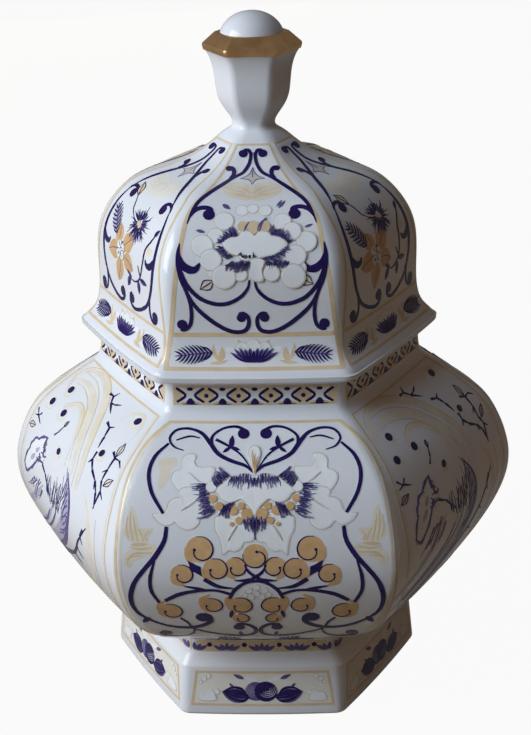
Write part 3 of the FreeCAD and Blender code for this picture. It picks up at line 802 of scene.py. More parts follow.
SIDE_SCROLLS = (
    ((1, 1.4, 1.5, 1.7, 1.8, 1.3, 0.3),
     ((3.6, 107.2), (1.5, 106.2), (1.5, 102.2), (2.2, 98.3), (5, 92.8), (9.2, 86.5), (14, 78.9),
      (19, 71))),
    ((1.3, 1.5, 1.7, 0.8), ((8, 88.2), (7.5, 91.9), (7.9, 94.5), (9.8, 95.8))),
    ((0.4, 1.2, 1.7, 2, 1.8, 1.6, 1.6, 1.6, 1.5, 1.2),
     ((19.4, 70.2), (22.4, 63), (24.4, 54.4), (24.8, 46), (23.5, 37), (20, 29.6), (15, 25.6), (9.2, 23.4),
      (5.4, 23.4), (3, 25.4), (3.2, 28.4), (5, 29.4))),
    ((0.6, 1.4, 1.7, 1.8, 1.4), ((20.2, 69), (18.4, 71.4), (15.8, 72.1), (13.5, 70.9), (13, 68.6))),
    ((0.8, 2.6, 3, 2.2, 0.6), ((24.8, 49.6), (23, 46.4), (20.6, 45.2), (18.4, 45.8), (17.4, 47.4))),
    ((0.5, 1.3, 1.4, 1.5, 1.3),
     ((22.4, 34.4), (21.4, 30.4), (21.3, 26.6), (22.8, 23.4), (25.6, 22.6), (27.4, 24))))
SIDE_BLOBS = ((4.6, 106, 1.8), (8.8, 94.4, 1.7), (4.7, 27.2, 2.2), (14.5, 68.7, 2.2), (25.8, 25.2, 2.3))
SIDE_TWIG = (
    ((0.4, 0.9, 1, 0.9, 0.8, 0.4),
     ((21.4, 61), (18.6, 55.4), (16, 51), (15.4, 45), (13.4, 38.4), (8.4, 35.4), (3, 36.2))),
    ((0.3, 0.6, 0.4), ((-2.6, 60.4), (-6, 62.8), (-8, 66.6), (-9.6, 69))),
    ((0.8, 0.4), ((13.6, 39), (11.4, 43.2))))
SIDE_LEAVES = (
    ((19.2, 57.6), (21.6, 61), 2.4), ((13.4, 37.8), (19.6, 37), 2.6), ((12, 37), (12.2, 31), 2.8),
    ((4, 36.4), (1.4, 31.6), 3), ((5.6, 36.4), (1, 38.6), 1.8))
GOLD_PETALS = (
    ((-8, 48), (-10.8, 55.2), 7.4), ((-3.4, 47.4), (4.6, 52.4), 8.6), ((-2, 43), (6.2, 39.6), 8),
    ((-5.4, 41), (-8.4, 31.4), 7.4), ((-8, 44.6), (-18, 42.4), 8.4))
GOLD_HEART = ((-7.4, 47, 1.9), (-4.2, 46, 1.8), (-4.4, 43, 1.8), (-7.6, 43.2, 1.9))
THISTLE = (
    ("cobalt", 1.6, (8.4, 8), (4.4, 58.6), 56, 0.5), ("slate", 2.2, (7.4, 7.4), (4.4, 58.2), 26, 1))


def lid_side():
    """The lid's other design: a gold flower and a thistle between scrolls."""
    panel = Panel(False)
    lid_frame(panel, 0.7)
    panel.strokes("cobalt", SIDE_SCROLLS, True)
    panel.dots("cobalt", SIDE_BLOBS, True)
    panel.strokes("cobalt", SIDE_TWIG)
    gold_star(panel, (0, 91.3), [(0, 97.5), (-4.6, 90.3), (0, 85.1), (4.6, 90.3)])
    fan(panel, -5.2, "cream", "pale")
    for base, tip, width in GOLD_PETALS:
        base, tip = np.array(base, float), np.array(tip, float)
        panel.leaf("ochre", mix(base, tip, -0.1), mix(base, tip, 1.06), width)
        panel.line("slate", [base, mix(base, tip, 0.55) + 0.1 * width, tip], (0.2, 0.4, 0.3))
    panel.dots("white", GOLD_HEART, None, LAYER, True)
    panel.hatch("cobalt", arc((-6, 45), (1, 1), 0, 330), arc((-6, 45), (4.2, 4.2), 0, 330), 9, 0.35)
    panel.leaf("haze", (-11.6, 50.4), (-20.4, 62), 7)
    feather_leaf(panel, (-11.6, 50.4), (-20, 62), 8.4)
    for ink, root, reach, middle, count, width in THISTLE:
        roots = arc((4.4, 58.8), (root, root), 0, 350)
        panel.hatch(ink, roots, arc(middle, reach, 0, 350), count, width, over=0)
    panel.dots("beige", ((3.6, 59.2, 1.1), (5.2, 58.6, 1.2)), None, LAYER)
    panel.outlined_leaf((-9.4, 68.6), (-13, 75.4), 4.2)
    for base, tip, width in SIDE_LEAVES:
        panel.leaf("slate", base, tip, width)
        panel.leaf("cobalt", base, tip, 0.5 * width, 0.06)
    panel.leaf("pale", (15.8, 51), (21.6, 51.6), 3.4)
    return panel


# The belly's panels.
BELLY_EDGE = (
    (34.4, 141.4), (38.5, 137.4), (44.3, 130.6), (48.8, 122.4), (52, 113.2), (54.8, 98), (56.2, 80),
    (55.8, 66), (54, 52.4), (51.2, 41.6), (46, 29), (39.4, 18), (33, 9.4), (30, 6.6))
SIDE_EDGE = (
    (34.4, 142.6), (36.2, 137), (38.6, 130), (42, 119), (45, 109), (47.4, 98), (48.4, 85), (48, 72),
    (45.4, 60), (40, 46), (33.6, 30), (31, 17), (30, 6.6))
INNER_EDGE_SHARE = 0.963
BELLY_SCROLLS = (
    ((0.9, 1.5, 1.6, 1.5, 1.3),
     ((34.6, 131.4), (39.8, 125.6), (42.1, 118.4), (40.8, 110.4), (36.2, 102.2))),
    ((1.5, 1.8, 2, 1.8, 1.8, 2.1, 2, 1.6, 1.4, 1.4, 1.6, 2, 2.3, 2.2, 1.4),
     ((35, 97), (36, 91.4), (39.8, 84.8), (44.6, 78.8), (49, 72), (51, 63.6), (49.6, 55.2), (44.8, 49),
      (37.4, 44.2), (30, 42.8), (23.8, 44.4), (19.4, 48.4), (19.4, 52.4), (21.8, 54.4))),
    ((0.6, 1.5, 1.5, 1.3), ((40, 83.6), (42.2, 75.4), (42.2, 68.2), (39.4, 61.2))),
    ((0.4, 0.9, 1, 1.1, 1.2, 1.6, 1.9, 1.7, 1.6, 1.4, 0.8),
     ((28.4, 128.3), (32.4, 129.9), (34.3, 133.6), (31.8, 137.4), (26.8, 138.3), (21.4, 136.2),
      (17.8, 131.6), (14.6, 127), (9.6, 124), (3.8, 121.8), (0.5, 119))),
    ((1.6, 1.1, 1, 1.2, 1.4), ((17.4, 130.6), (16.9, 135), (12.6, 138.5), (7.4, 139.3), (3.6, 137.4))),
    ((0.5, 0.9, 0.5), ((22, 134), (26.2, 134.7), (31.6, 132.9))),
    ((0.4, 0.7, 1, 1.3), ((0.8, 119.6), (5, 126), (9.5, 129.8), (15.6, 133.4))),
    ((1.7, 2, 1.5, 1.2, 1.5), ((37, 62.6), (31, 66.7), (23.6, 68.8), (16, 69.2), (9.8, 67))),
    ((0.5, 1.5, 1), ((28.6, 71.2), (24, 70.3), (19, 69.2))),
    ((2, 1.8, 0.5), ((20.6, 75), (15, 71.4), (8.8, 70.4))),
    ((0.4, 1.5, 1), ((8.4, 74.4), (3.8, 74.6), (0, 75.8))),
    ((0.4, 1.3, 1), ((4.4, 81.6), (2.2, 78), (-1.4, 75.8))),
    ((1.3, 1.6, 1.4, 1.3), ((10.8, 64.6), (8.8, 69.2), (5.6, 72.4), (2.4, 73.9), (0, 74.2))),
    ((1.6, 1.7, 1.8, 1.8, 1.8, 1.4, 1.2, 0.8),
     ((9, 46.2), (4.6, 46.2), (1.2, 42.6), (1.8, 37.6), (6.5, 34.6), (13.6, 35.6), (21, 38.6),
      (26.6, 41.8))),
    ((0.8, 1, 1.2, 1.5, 1.5, 1.2),
     ((26.4, 42), (27, 37.6), (30, 33.4), (34.8, 31.4), (39.6, 32.6), (41.2, 36))),
    ((0.9, 1.1, 0.8), ((31.6, 50.8), (28.8, 47.2), (27.6, 44))),
    ((0.6, 1.3, 1.5, 1.3),
     ((0.6, 14), (4.6, 20), (10.6, 24), (17, 24.6), (22, 21.4), (21.4, 17.2), (18, 16.8))))
BELLY_BLOBS = ((4.5, 136, 2.4), (22.2, 51.6, 3.1), (7.8, 43.8, 2.4), (38.6, 36.4, 2.6), (18.6, 18.6, 1.8))
BELLY_CURLS = (
    ((22, 88), 5.4, ((26.2, 88.6), (26.6, 84.6), (24.8, 82))),
    ((29.5, 77), 4.5, ((32.8, 76.4), (32.2, 73.2), (28.6, 71.4))),
    ((16, 79.5), 4.9, ((19.6, 79.6), (20.4, 76.8), (19, 74.8))),
    ((8, 80.5), 4.4, ((11.2, 80.4), (11, 77.4), (8.4, 75.2))),
    ((35.5, 55.5), 5.1, ((39.4, 56.6), (39.2, 60.6), (36.6, 62.6))),
    ((18.5, 60), 4.7, ((22, 60.6), (21.8, 64.4), (18.8, 66.8))),
    ((7, 60), 5.2, ((11.2, 60.4), (11.6, 64.4), (10.2, 67))),
    ((6.7, 51), 3.4, None))
BELLY_LEAVES = (
    ((9.4, 129.6), (9, 135.2), 2.2), ((9.6, 130), (12.8, 127.4), 1.5), ((9.6, 130), (5.8, 128.6), 1.5),
    ((44.4, 50.6), (47.4, 46), 2.6), ((10, 57), (11, 51.4), 1.8), ((7, 35.4), (7.6, 39.6), 1.8),
    ((0, 8), (0, 17), 3.4))
FLOWER_PETALS = (
    ((8, 96),
     ((0, 97.9), (0, 92.8), (1.8, 91.2), (4.2, 91), (5.4, 88.6), (8.1, 87.2), (10.2, 87.7), (12.7, 85.9),
      (13.2, 88.9), (14, 92.7), (15.6, 96), (15.8, 99.2), (14.9, 101.5), (8, 103), (1.6, 101.5))),
    ((27, 102.5),
     ((16, 103), (21, 100.8), (22.3, 98.1), (24.7, 96.2), (27.4, 95.9), (30.2, 97.3), (31.7, 99),
      (33.5, 97.8), (35.4, 97.4), (38.1, 98.6), (39.5, 100), (40.4, 101.9), (36.6, 102), (34.9, 104.1),
      (34, 106.5), (31.9, 108.3), (29, 109), (30, 110.6), (29.2, 112.4), (26.3, 113.3), (23.8, 113.1),
      (20.8, 113.1), (18.4, 111.3))),
    ((26.5, 118),
     ((23.8, 113.1), (28.5, 112.4), (30, 111.2), (32.1, 113.7), (33.1, 116.3), (31.9, 118.9), (29, 120.3),
      (28.9, 124.2), (27.4, 126.3), (25.2, 127), (23.2, 126.1), (24.1, 123.7), (22.9, 121.6), (20.6, 121),
      (16.2, 121.1), (16, 118.2), (17.2, 114.4))))
FLOWER_CREASES = (
    ((29.1, 103.6), (25.9, 105.6), (22.8, 107.8)), ((26.3, 118.8), (22.7, 115.6), (19.7, 113.8)),
    ((10.7, 91.8), (9.2, 94.6), (7.1, 97.9)))
FLOWER_CORE = (
    (0, 101.7), (1.3, 104.1), (3.9, 107), (6, 108.2), (8.5, 107.1), (11.3, 107.1), (13.6, 108.6),
    (14.3, 109.9), (15.7, 111.1), (14.8, 112.5), (11.7, 115.1), (9.3, 116.9), (6.7, 117.7), (3.7, 118.2),
    (0, 117.4))
FLOWER_FRINGES = (
    (((19, 114.4), (18.2, 109.9), (17.8, 106.4), (15, 103.5)),
     ((24.2, 114), (23.3, 110), (21.8, 106.4), (21.6, 100.8)),
     44),
    (((8.4, 106.8), (12, 105.9)), ((10.1, 101.7), (14.6, 101.5)), 18),
    (((4, 100.8), (0.7, 101.1), (0, 99.6)), ((4.7, 97.5), (1.7, 95.7), (0.2, 93)), 13))
CORE_FRINGES = (
    (((9.3, 116.7), (6.5, 117.6), (3.8, 118.1), (0, 117.3)),
     ((10.5, 113.8), (7.5, 113.1), (2.7, 112.6), (0.2, 112.8)),
     24),
    (((15.2, 112.6), (12.3, 115.1), (9.3, 117)), ((16.8, 116), (15.4, 118.5), (13.2, 120.6)), 24))
FLOWER_BERRIES = (
    (16.4, 108.4, 1.6), (14, 105.4, 1.7), (8.6, 103.8, 2), (5.2, 105.6, 1.5), (3, 102.4, 2.3),
    (6.2, 99.8, 1.5), (9.1, 98.4, 0.9))
FLOWER_LEAF = (
    (-38.7, 123.7), (-37.9, 119.5), (-38.3, 112.9), (-36.6, 112.1), (-34, 116.1), (-33.4, 119.6),
    (-30.9, 122.3), (-31.9, 125.2), (-35.3, 124.6))
BUD_ROOTS = ((-0.2, 119), (0.2, 119))
BUD_TIPS = ((-1.6, 127), (0, 128), (1.6, 127))
FLOWER_BUD = (
    (0, 118.4), (1.3, 123.1), (2.3, 127.1), (1.1, 130.1), (-1.1, 130.1), (-2.3, 127.1), (-1.3, 123.2))
SIDE_LEAF = (
    ((47, 94),
     ((52, 93.5), (51.5, 97), (50, 101), (49.2, 104.6), (48, 104), (46.6, 100), (46, 96.6), (44, 96),
      (40.8, 96.1), (40.6, 95), (42.5, 92.5), (42.3, 91), (46.5, 89.4), (50, 90.8))),
    ((46, 86.8),
     ((51.6, 85.6), (49.6, 87.6), (48.8, 89.4), (45.6, 89.6), (42, 90), (39.5, 89.2), (39.3, 86.8),
      (41, 85), (45, 84), (48.6, 82.2), (50.3, 79.6), (52, 80.3), (52.7, 83))))
SIDE_LEAF_RIBS = (
    ((0.3, 0.7, 0.5), ((50.4, 101), (51, 96), (50.2, 92))),
    ((0.3, 0.8, 0.6), ((49.2, 103), (49.4, 97), (48.4, 91))),
    ((0.3, 0.8, 0.6), ((48.2, 101), (47.4, 95), (46.4, 90.6))),
    ((0.3, 0.8, 0.6), ((46.4, 95.8), (45, 93.6), (44.2, 90.8))),
    ((0.3, 0.7, 0.6), ((42, 95.2), (43.6, 93), (43, 91))),
    ((0.3, 0.8, 0.6), ((50, 88.4), (46, 87.6), (41, 88.4))),
    ((0.3, 0.9, 0.4), ((51.4, 83), (48, 85.6), (41, 86.2))),
    ((0.3, 0.7, 0.3), ((51.2, 81.4), (49.8, 84), (45, 85))))


def belly_frame(panel, edge, width):
    """The double beige line round a belly's panel."""
    panel.line("beige", edge, width, True)
    panel.line("pale", [(INNER_EDGE_SHARE * across, up) for across, up in edge], 0.7 * width, True)
    for across, up in ((34.8, edge[0][1]), (30.4, edge[-1][1])):
        panel.line("beige", [(-across, up), (across, up)], width, False)


def side_leaf(panel):
    """A pale curled leaf with fine ribs beside the flower."""
    for centre, edge in SIDE_LEAF:
        panel.patch("pale", centre, edge)
    panel.strokes("beige", SIDE_LEAF_RIBS)
    panel.leaf("beige", (49.6, 89.2), (42.4, 89.8), 1.4)


def belly_flower(panel):
    """The front's white flower in low relief, with blue fringes and gold berries."""
    panel.patch("pale", (-35.6, 119.6), FLOWER_LEAF, False)
    for number, (centre, edge) in enumerate(FLOWER_PETALS):
        panel.patch("white", centre, edge, over=number * PETAL_LAYER, relief=True)
    for crease in FLOWER_CREASES:
        panel.line("outline", crease, (0.3, 0.7, 0.3), over=LAYER)
    fringes(panel, FLOWER_FRINGES, 1.5 * LAYER, True)
    panel.dots("ochre", FLOWER_BERRIES, None, 1.5 * LAYER)
    far_side = [(-across, up) for across, up in FLOWER_CORE[-2:0:-1]]
    panel.patch("white", (0, 112), [*FLOWER_CORE, *far_side], False, 1.5 * LAYER, True)
    fringes(panel, CORE_FRINGES, 2 * LAYER, True)
    panel.dot("white", (17, 113), 2.1, over=2 * LAYER, relief=True)
    panel.patch("white", (0, 125), FLOWER_BUD, False, 1.5 * LAYER, True)
    panel.hatch("ochre", BUD_ROOTS, BUD_TIPS, 7, 0.5, False, 2 * LAYER)


def belly_front():
    """The belly's front design: a flower over a spray of gold curls, between scrolls."""
    panel = Panel()
    belly_frame(panel, BELLY_EDGE, 1.3)
    for centre, radius, tail in BELLY_CURLS:
        panel.curl(centre, radius, tail)
    panel.curl((0, 85.4), 5, None, 170, 260, False)
    panel.strokes("cobalt", BELLY_SCROLLS)
    panel.dots("cobalt", BELLY_BLOBS)
    panel.star("cobalt", (24.2, 80), [(27, 83.6), (21.6, 80.6), (21.2, 76.2), (26, 79)], 0.2)
    panel.leaves("cobalt", BELLY_LEAVES)
    feather_leaf(panel, (6, 8), (16, 12.6), 5.6, 5)
    feather_leaf(panel, (8, 27.6), (17, 30.6), 5.6, 5)
    panel.dots("white", ((3.1, 69.2, 1.5), (2.1, 65.4, 1.4), (4.8, 66.8, 1.3)), None, 0, True)
    panel.dots("white", ((0, 71, 1.5), (0, 67.4, 1.5)), False, 0, True)
    side_leaf(panel)
    belly_flower(panel)
    return panel


PLUMES = (
    ((0.6, 2, 3.4, 4.6, 4.6, 3, 0.8),
     ((-33, 126), (-33.4, 133), (-27, 139), (-15, 140), (-2, 134), (8, 121), (14, 108), (15, 95))),
    ((0.5, 1.6, 3, 4.4, 4.4, 2.6, 0.6),
     ((-31, 124), (-32.6, 130.6), (-22, 133.4), (-9, 130), (1, 119), (7.6, 105), (8, 95))),
    ((0.4, 1.4, 2.2, 2.6, 1, 0.4), ((-20.6, 114), (-21, 120), (-13, 124), (-5, 120), (0, 111), (1, 100))),
    ((0.4, 1.4, 2, 1.4, 0.4), ((17, 131), (21, 137), (27, 139), (31, 136), (33, 128))),
    ((0.5, 3, 4.4, 3.6, 0.5), ((24, 98), (31, 90), (34, 76), (30, 62), (20, 50))))
PLUME_LINES = (
    ((-34.4, 127), (-34.6, 134), (-27.6, 140.8), (-14, 142), (-0.4, 135.6), (10, 122), (16.4, 108),
     (17, 96)),
    ((-29.6, 136.6), (-17, 136.6), (-5, 130.8), (4.6, 119), (11, 105), (12, 95)),
    ((-29, 130.4), (-20, 130.6), (-9, 126.6), (-1, 117), (4, 104)),
    ((-22.4, 116), (-22, 121), (-13.4, 125.6), (-3.6, 121), (1.8, 111)),
    ((38, 92), (39, 78), (35, 62), (25, 48)))
EYES = (
    (-28.6, 126.3, 1), (-34.6, 116.8, 1), (-20, 117, 1), (-8, 103.2, 0.85), (27, 135.6, 1),
    (23.4, 116.2, 0.9))
TWIGS = (
    (1.3, ((-3, 137), (0.6, 137.2), (3, 134.4), (7.6, 131.4))),
    (0.9, ((3, 134.2), (6.4, 134.8), (9.4, 136.2))),
    (0.9, ((0.8, 137), (2, 139.4))),
    (1.4, ((11.4, 127.4), (15.6, 126), (17.4, 121.8), (18.6, 117.6))),
    (1, ((15.2, 126), (17.6, 127.4))),
    (1.4, ((20, 115.4), (20.2, 111.6), (23.6, 108.2), (29, 105.4), (32.4, 101.6), (34, 96.4))),
    (1, ((20.2, 111.8), (18.6, 109.8))),
    (0.9, ((28.8, 105.4), (29.8, 102.6))),
    (1.3, ((29.4, 119.8), (33, 118), (33.4, 112.6), (33.2, 107.4), (35.4, 103.6), (34, 96.4))),
    (0.9, ((33, 118), (36.6, 118.4), (39.4, 116.6))),
    (0.9, ((35.2, 103.6), (38, 101.4))),
    (0.8, ((33.4, 112.4), (31.2, 110.6))),
    (1, ((-42.6, 110), (-40, 107.6), (-35.4, 105.6))),
    (0.8, ((-37, 109.4), (-39.4, 107.4), (-42.6, 106.6))),
    (0.8, ((-17.4, 107), (-14.8, 109.6), (-13, 113))),
    (1.2, ((-20, 92), (-14.6, 89.4), (-11, 85.6), (-7.4, 82.4))),
    (1.1, ((28, 83), (25.4, 79.4), (26.8, 76))),
    (1.1, ((20.4, 72.6), (20.4, 69.4), (23.4, 67))),
    (1.1, ((12.6, 65), (13.4, 61.6), (16.4, 60))))
TWIG_LEAVES = (
    ((33, 118.4), (32, 125.6), 3.2), ((35.4, 106), (40.6, 110.8), 3), ((-38.6, 103), (-46, 100.8), 2.8),
    ((-13, 112.8), (-11.8, 116.4), 1.8))
WING_EDGE = (
    (-41, 81.8), (-37, 82.2), (-32.6, 84.6), (-29, 88), (-25, 91.4), (-20.4, 93), (-18.8, 96.6),
    (-21.4, 98), (-22, 103.4), (-26.4, 101.6), (-32, 99.6), (-35.4, 96.2), (-38, 92.2), (-41.8, 85))
WING_STROKES = (
    ((0.5, 1.2, 0.4), ((-35.8, 96), (-33.4, 99), (-29, 99.8))),
    ((0.6, 1.4, 0.5), ((-30, 99.8), (-26, 102.4), (-21.4, 103.8))),
    ((0.6, 1.5, 0.4), ((-22, 103.6), (-22.4, 100), (-20, 97.6))),
    ((0.6, 1.3, 0.4), ((-22, 99), (-21, 95.6), (-18, 96.2))),
    ((0.5, 1.5, 0.5), ((-19.4, 92.6), (-25.4, 92), (-28.4, 88.6))),
    ((0.5, 1.4, 0.4), ((-27.6, 90), (-31.6, 85.6), (-35.8, 83))),
    ((0.6, 1.5, 0.4), ((-34.6, 83.4), (-38.8, 81.2), (-42.4, 84.4))),
    ((0.4, 1.1, 0.4), ((-42, 84), (-40, 89.4), (-37, 92.8))),
    ((0.4, 0.8, 0.3), ((-38, 92), (-36.8, 95.6), (-34.2, 97))))
TAIL_BANDS = (
    ((0.5, 4.6, 8, 8.6, 8, 7, 5),
     ((4.4, 101), (9, 93), (10.6, 84), (6, 73.6), (-4, 64), (-20, 53.6), (-40, 43))),
    ((0.5, 2, 3, 3, 2), ((-2, 82), (-10, 72.6), (-24, 62.6), (-38, 55), (-50, 50))),
    ((0.5, 3, 4, 4, 3), ((-16, 84), (-23, 77.4), (-33, 70), (-42, 64.6), (-52, 60))))
TAIL_EDGES = (
    ((0.4, 1.8, 2.6, 3, 3, 2.4, 1),
     ((6.4, 99.4), (12.4, 91), (13.6, 82), (8.4, 70.6), (-3, 60.4), (-20, 50), (-40, 40))),
    ((0.4, 1, 1.2, 1, 0.5), ((2, 84), (-2, 76), (-10, 68), (-24, 58.6), (-40, 51))),
    ((0.4, 1.2, 1.4, 1, 0.4), ((-8, 76), (-16, 67.6), (-28, 60), (-42, 52.6))))
DOWN_ROOTS = ((-29, 82), (-22, 84.6), (-15, 82))
DOWN_TIPS = ((-38, 75), (-33, 72.6), (-25, 72))
TAIL_ROOTS = ((7, 98), (11.4, 89), (12, 78), (6, 70))
TAIL_TIPS = ((4, 88), (6, 78), (3, 72), (-3, 66))
BRANCH = (
    (31, 85), (26.6, 79.6), (22.6, 75), (18.6, 69.6), (11.6, 63.4), (0, 57), (-14, 49.6), (-30, 42.6),
    (-42, 38))
BRANCH_WIDTHS = (0.5, 1, 1.5, 2.1, 3, 4, 4.6, 4.6, 3)
LOW_SWEEP = ((-38, 40), (-28, 36), (-10, 38), (8, 45), (24, 44), (38, 50))
LOW_SCROLL = ((0.6, 12), (5, 18.6), (12, 21.6), (18.6, 20), (20, 15.6), (16.6, 14))


def twig(panel, width, points):
    """A jagged twig whose joints end in thorns."""
    points = np.array(points, float)
    for start, end in zip(points, points[1:]):
        thorn = end + 0.2 * (end - start)
        panel.line("cobalt", [start, (start + end) / 2, thorn], (width, 0.75 * width, 0.2))


def belly_side():
    """The belly's other design: sweeping plumes and a crane's wing among flowering twigs."""
    panel = Panel(False)
    belly_frame(panel, SIDE_EDGE, 0.9)
    panel.strokes("pale", PLUMES)
    for points in PLUME_LINES:
        panel.line("beige", points, (0.2, 0.6, 0.6, 0.2))
    for across, up, size in EYES:
        halo = (across - 0.4, up - 0.6)
        panel.dot("cream", halo, 3.4 * size)
        panel.line("pale", arc(halo, (3.4 * size, 3.4 * size), 200, 420), (0.3, 0.6, 0.3))
        panel.dot("cobalt", (across, up), 2.1 * size, squash=0.86, turn=0.5)
    panel.strokes("haze", TAIL_BANDS)
    panel.strokes("slate", TAIL_EDGES)
    for width, points in TWIGS:
        twig(panel, width, points)
    for base, tip, width in TWIG_LEAVES:
        panel.outlined_leaf(base, tip, width, ink="pale")
    panel.patch("haze", (-30, 92.6), np.array(WING_EDGE) - 0.5)
    panel.patch("white", (-30, 93), WING_EDGE, relief=True)
    panel.strokes("slate", WING_STROKES, over=LAYER)
    panel.hatch("slate", [(-23, 102), (-24, 97), (-28, 92)], [(-20, 102), (-20.6, 97), (-24, 91)], 9, 0.5)
    panel.hatch("slate", DOWN_ROOTS, DOWN_TIPS, 10, 0.5, over=0)
    fringes(panel, [([(-11, 82), (-4.6, 79.4), (3, 80)], [(-12.4, 88.6), (-3, 91), (5, 96)], 15)])
    panel.hatch("slate", TAIL_ROOTS, TAIL_TIPS, 20, 0.6, over=0)
    panel.line("cobalt", BRANCH, BRANCH_WIDTHS)
    feather_leaf(panel, (-8, 34), (-26, 30), 8)
    feather_leaf(panel, (8, 36), (28, 34), 8)
    panel.line("beige", LOW_SWEEP, (0.6, 1.2, 1.2, 0.6))
    panel.line("cobalt", LOW_SCROLL, (0.5, 1.4, 1.5, 1.4), True)
    panel.dot("cobalt", (16.6, 15.8), 1.8, True)
    return panel


# The bands round the neck, waist and foot.
NECK_PITCH = 13.1
NECK_FIRST = -2
NECK_STAR = ((4.2, 9), (-4.2, 9), (-4.6, 2.2), (4.6, 2.2))
NECK_HOOK = ((5.7, 8.6), (3.4, 7), (2, 5.5), (3.2, 4), (5.6, 2.5))
NECK_BUD = ((1.6, 1.9), (1, 3.6), (0, 4.2), (-1, 3.6), (-1.6, 1.9))
WAIST_PITCH = 15.4
FOOT_BERRIES = ((25.8, 18.6, 1.1), (23.8, 20, 1), (20.4, 12.2, 1.3), (27.4, 17, 0.8))
FOOT_FRUIT = ((20.6, 8.2), (24, 7.6), (28.4, 8.4), (27, 11.8), (24.8, 12), (22.6, 13.4), (21, 10.6))


def neck_band():
    """The lattice round the neck."""
    panel = Panel(False)
    panel.block("beige", [(-33.2, 1.2), (33.2, 1.2), (33.2, 9.8), (-33.2, 9.8)])
    for number in range(2 * -NECK_FIRST + 1):
        middle = (NECK_FIRST + number) * NECK_PITCH
        tips = [(middle + across, up) for across, up in NECK_STAR]
        panel.star("white", (middle, 5.5), tips, 0.55, over=0.05)
        for side in (-1, 1):
            points = [(middle + side * across, up) for across, up in NECK_HOOK]
            panel.line("cobalt", points, (1, 1.2, 1.1, 1.2, 0.9))
        panel.patch("cobalt", (middle, 2.6), [(middle + across, up) for across, up in NECK_BUD], over=0.02)
        panel.line("cobalt", [(middle - 3.6, 1.7), (middle + 3.6, 1.7)], (0.2, 0.6, 0.2), over=0.02)
        panel.dot("cobalt", (middle, 8.2), 1.3, squash=0.6, over=0.02)
        if number:
            panel.dot("cobalt", (middle - NECK_PITCH / 2, 5.3), 0.95)
    return panel


def waist_band():
    """The frieze of small leaves round the waist."""
    panel = Panel()
    panel.block("beige", [(-31.4, 0.9), (31.4, 0.9), (31.4, 6.6), (-31.4, 6.6)])
    for middle in (0, WAIST_PITCH, 1.94 * WAIST_PITCH):
        for share in (-1, -0.5, 0, 0.5, 1):
            if middle + share * 6 < 31:
                tip = (middle + share * 6, 5.6 - 1.6 * abs(share))
                panel.leaf("slate", (middle + share * 1.6, 1.4), tip, 1.9, 0, middle > 0)
    for middle in (WAIST_PITCH / 2, 1.5 * WAIST_PITCH):
        panel.dot("cobalt", (middle, 4.4), 1.15)
        panel.leaf("pale", (middle, 1.2), (middle, 3.4), 1.6)
    return panel


def foot_panel():
    """The foot's panel: a dark blue bud between leaves in a gold frame."""
    panel = Panel()
    panel.block("cream", [(-31, 6), (31, 6), (28.8, 21.8), (-28.8, 21.8)])
    panel.line("beige", [(-31.8, 5.8), (31.8, 5.8)], 1.2, False)
    panel.line("beige", [(-29.6, 22), (29.6, 22)], 1.2, False)
    panel.line("beige", [(31.4, 5.6), (29, 22)], 1.2)
    panel.dots("white", FOOT_BERRIES, None, 0.04, True)
    panel.patch("white", (24.4, 10), FOOT_FRUIT, None, 0.04, True)
    panel.leaf("white", (8, 19.6), (2, 17.6), 1.8)
    panel.leaf("slate", (5.8, 10), (18, 12.2), 7, -0.06)
    panel.leaves("slate", [((8, 18.8), (12.8, 21), 1.9), ((12.8, 14.6), (14.6, 16.6), 1.2)])
    for low, high in ((0.6, 1.6), (-0.9, 0.2), (1.9, 2.8)):
        points = [(6.2, 9.8 + 0.4 * low), (11.6, 10.9 + low), (17, 12.1 + 0.2 * high)]
        panel.line("cobalt", points, (0.5, 1.5, 0.3))
    panel.line("cobalt", [(6.4, 9.8), (9.4, 13.8), (13.4, 14.4), (18, 12.2)], (0.4, 1.3, 1.1, 0.2))
    panel.line("cobalt", [(5.6, 9.8), (8.8, 7.7), (13.2, 8.9), (17.2, 11.9)], (0.4, 1.5, 1.3, 0.2))
    panel.dot("slate", (-3, 12.6), 4.7, False)
    panel.dot("cobalt", (1.5, 12.5), 5, False, over=0.02)
    for radius in (1.2, 2.1, 3, 3.9):
        near, far = arc((2.2, 13.6), (radius, radius), 215, 385), arc((-3, 13.4), (radius, radius), 120, 260)
        panel.line("haze", near, (0.15, 0.36, 0.15), False, over=LAYER)
        panel.line("haze", far, (0.1, 0.3, 0.1), False, over=LAYER)
    return panel


def decorate(inks):
    """Print every band and panel onto the jar and its lid."""
    jar = np.concatenate([belly_outline(), [(NECK_APOTHEM, JAR_TOP - RIM_ROUND)]])
    belly = zone(jar, belly_ridge(jar[:, 1]))
    waist = zone([(WAIST_APOTHEM, LEDGE_HEIGHT), (WAIST_APOTHEM, FOOT_TOP)], JAR_RIDGE)
    foot = zone([(FOOT_APOTHEM, 0), (LEDGE_APOTHEM, LEDGE_HEIGHT - LEDGE_BEVEL)], JAR_RIDGE)
    neck_start = float(np.interp(FOOT_TOP + BELLY_HEIGHT, jar[:, 1], belly["run"]))
    print_panels("belly", belly, [belly_front(), belly_side()], "jar", inks)
    print_panels("neck", belly, [neck_band()], "jar", inks, neck_start)
    print_panels("waist", waist, [waist_band()], "jar", inks)
    print_panels("foot", foot, [foot_panel()], "jar", inks)
    print_panels("lid", zone(dome_outline(), LID_RIDGE), [lid_front(), lid_side()], "lid", inks)


# Materials, the floor and the light.
GLAZE_IOR = 1.45
MIRRORED_SHARE = 0.15
FLOOR_SHARE = 0.95
FLOOR_HALF = 8.0
LAMP_TARGET = (0, 0, 0.14)


def new_material(name):
    """A node material. Returns it with its nodes, its links and its shader."""
    material = bpy.data.materials.new(name)
    material.use_nodes = True
    nodes, links = material.node_tree.nodes, material.node_tree.links
    return material, nodes, links, nodes["Principled BSDF"]


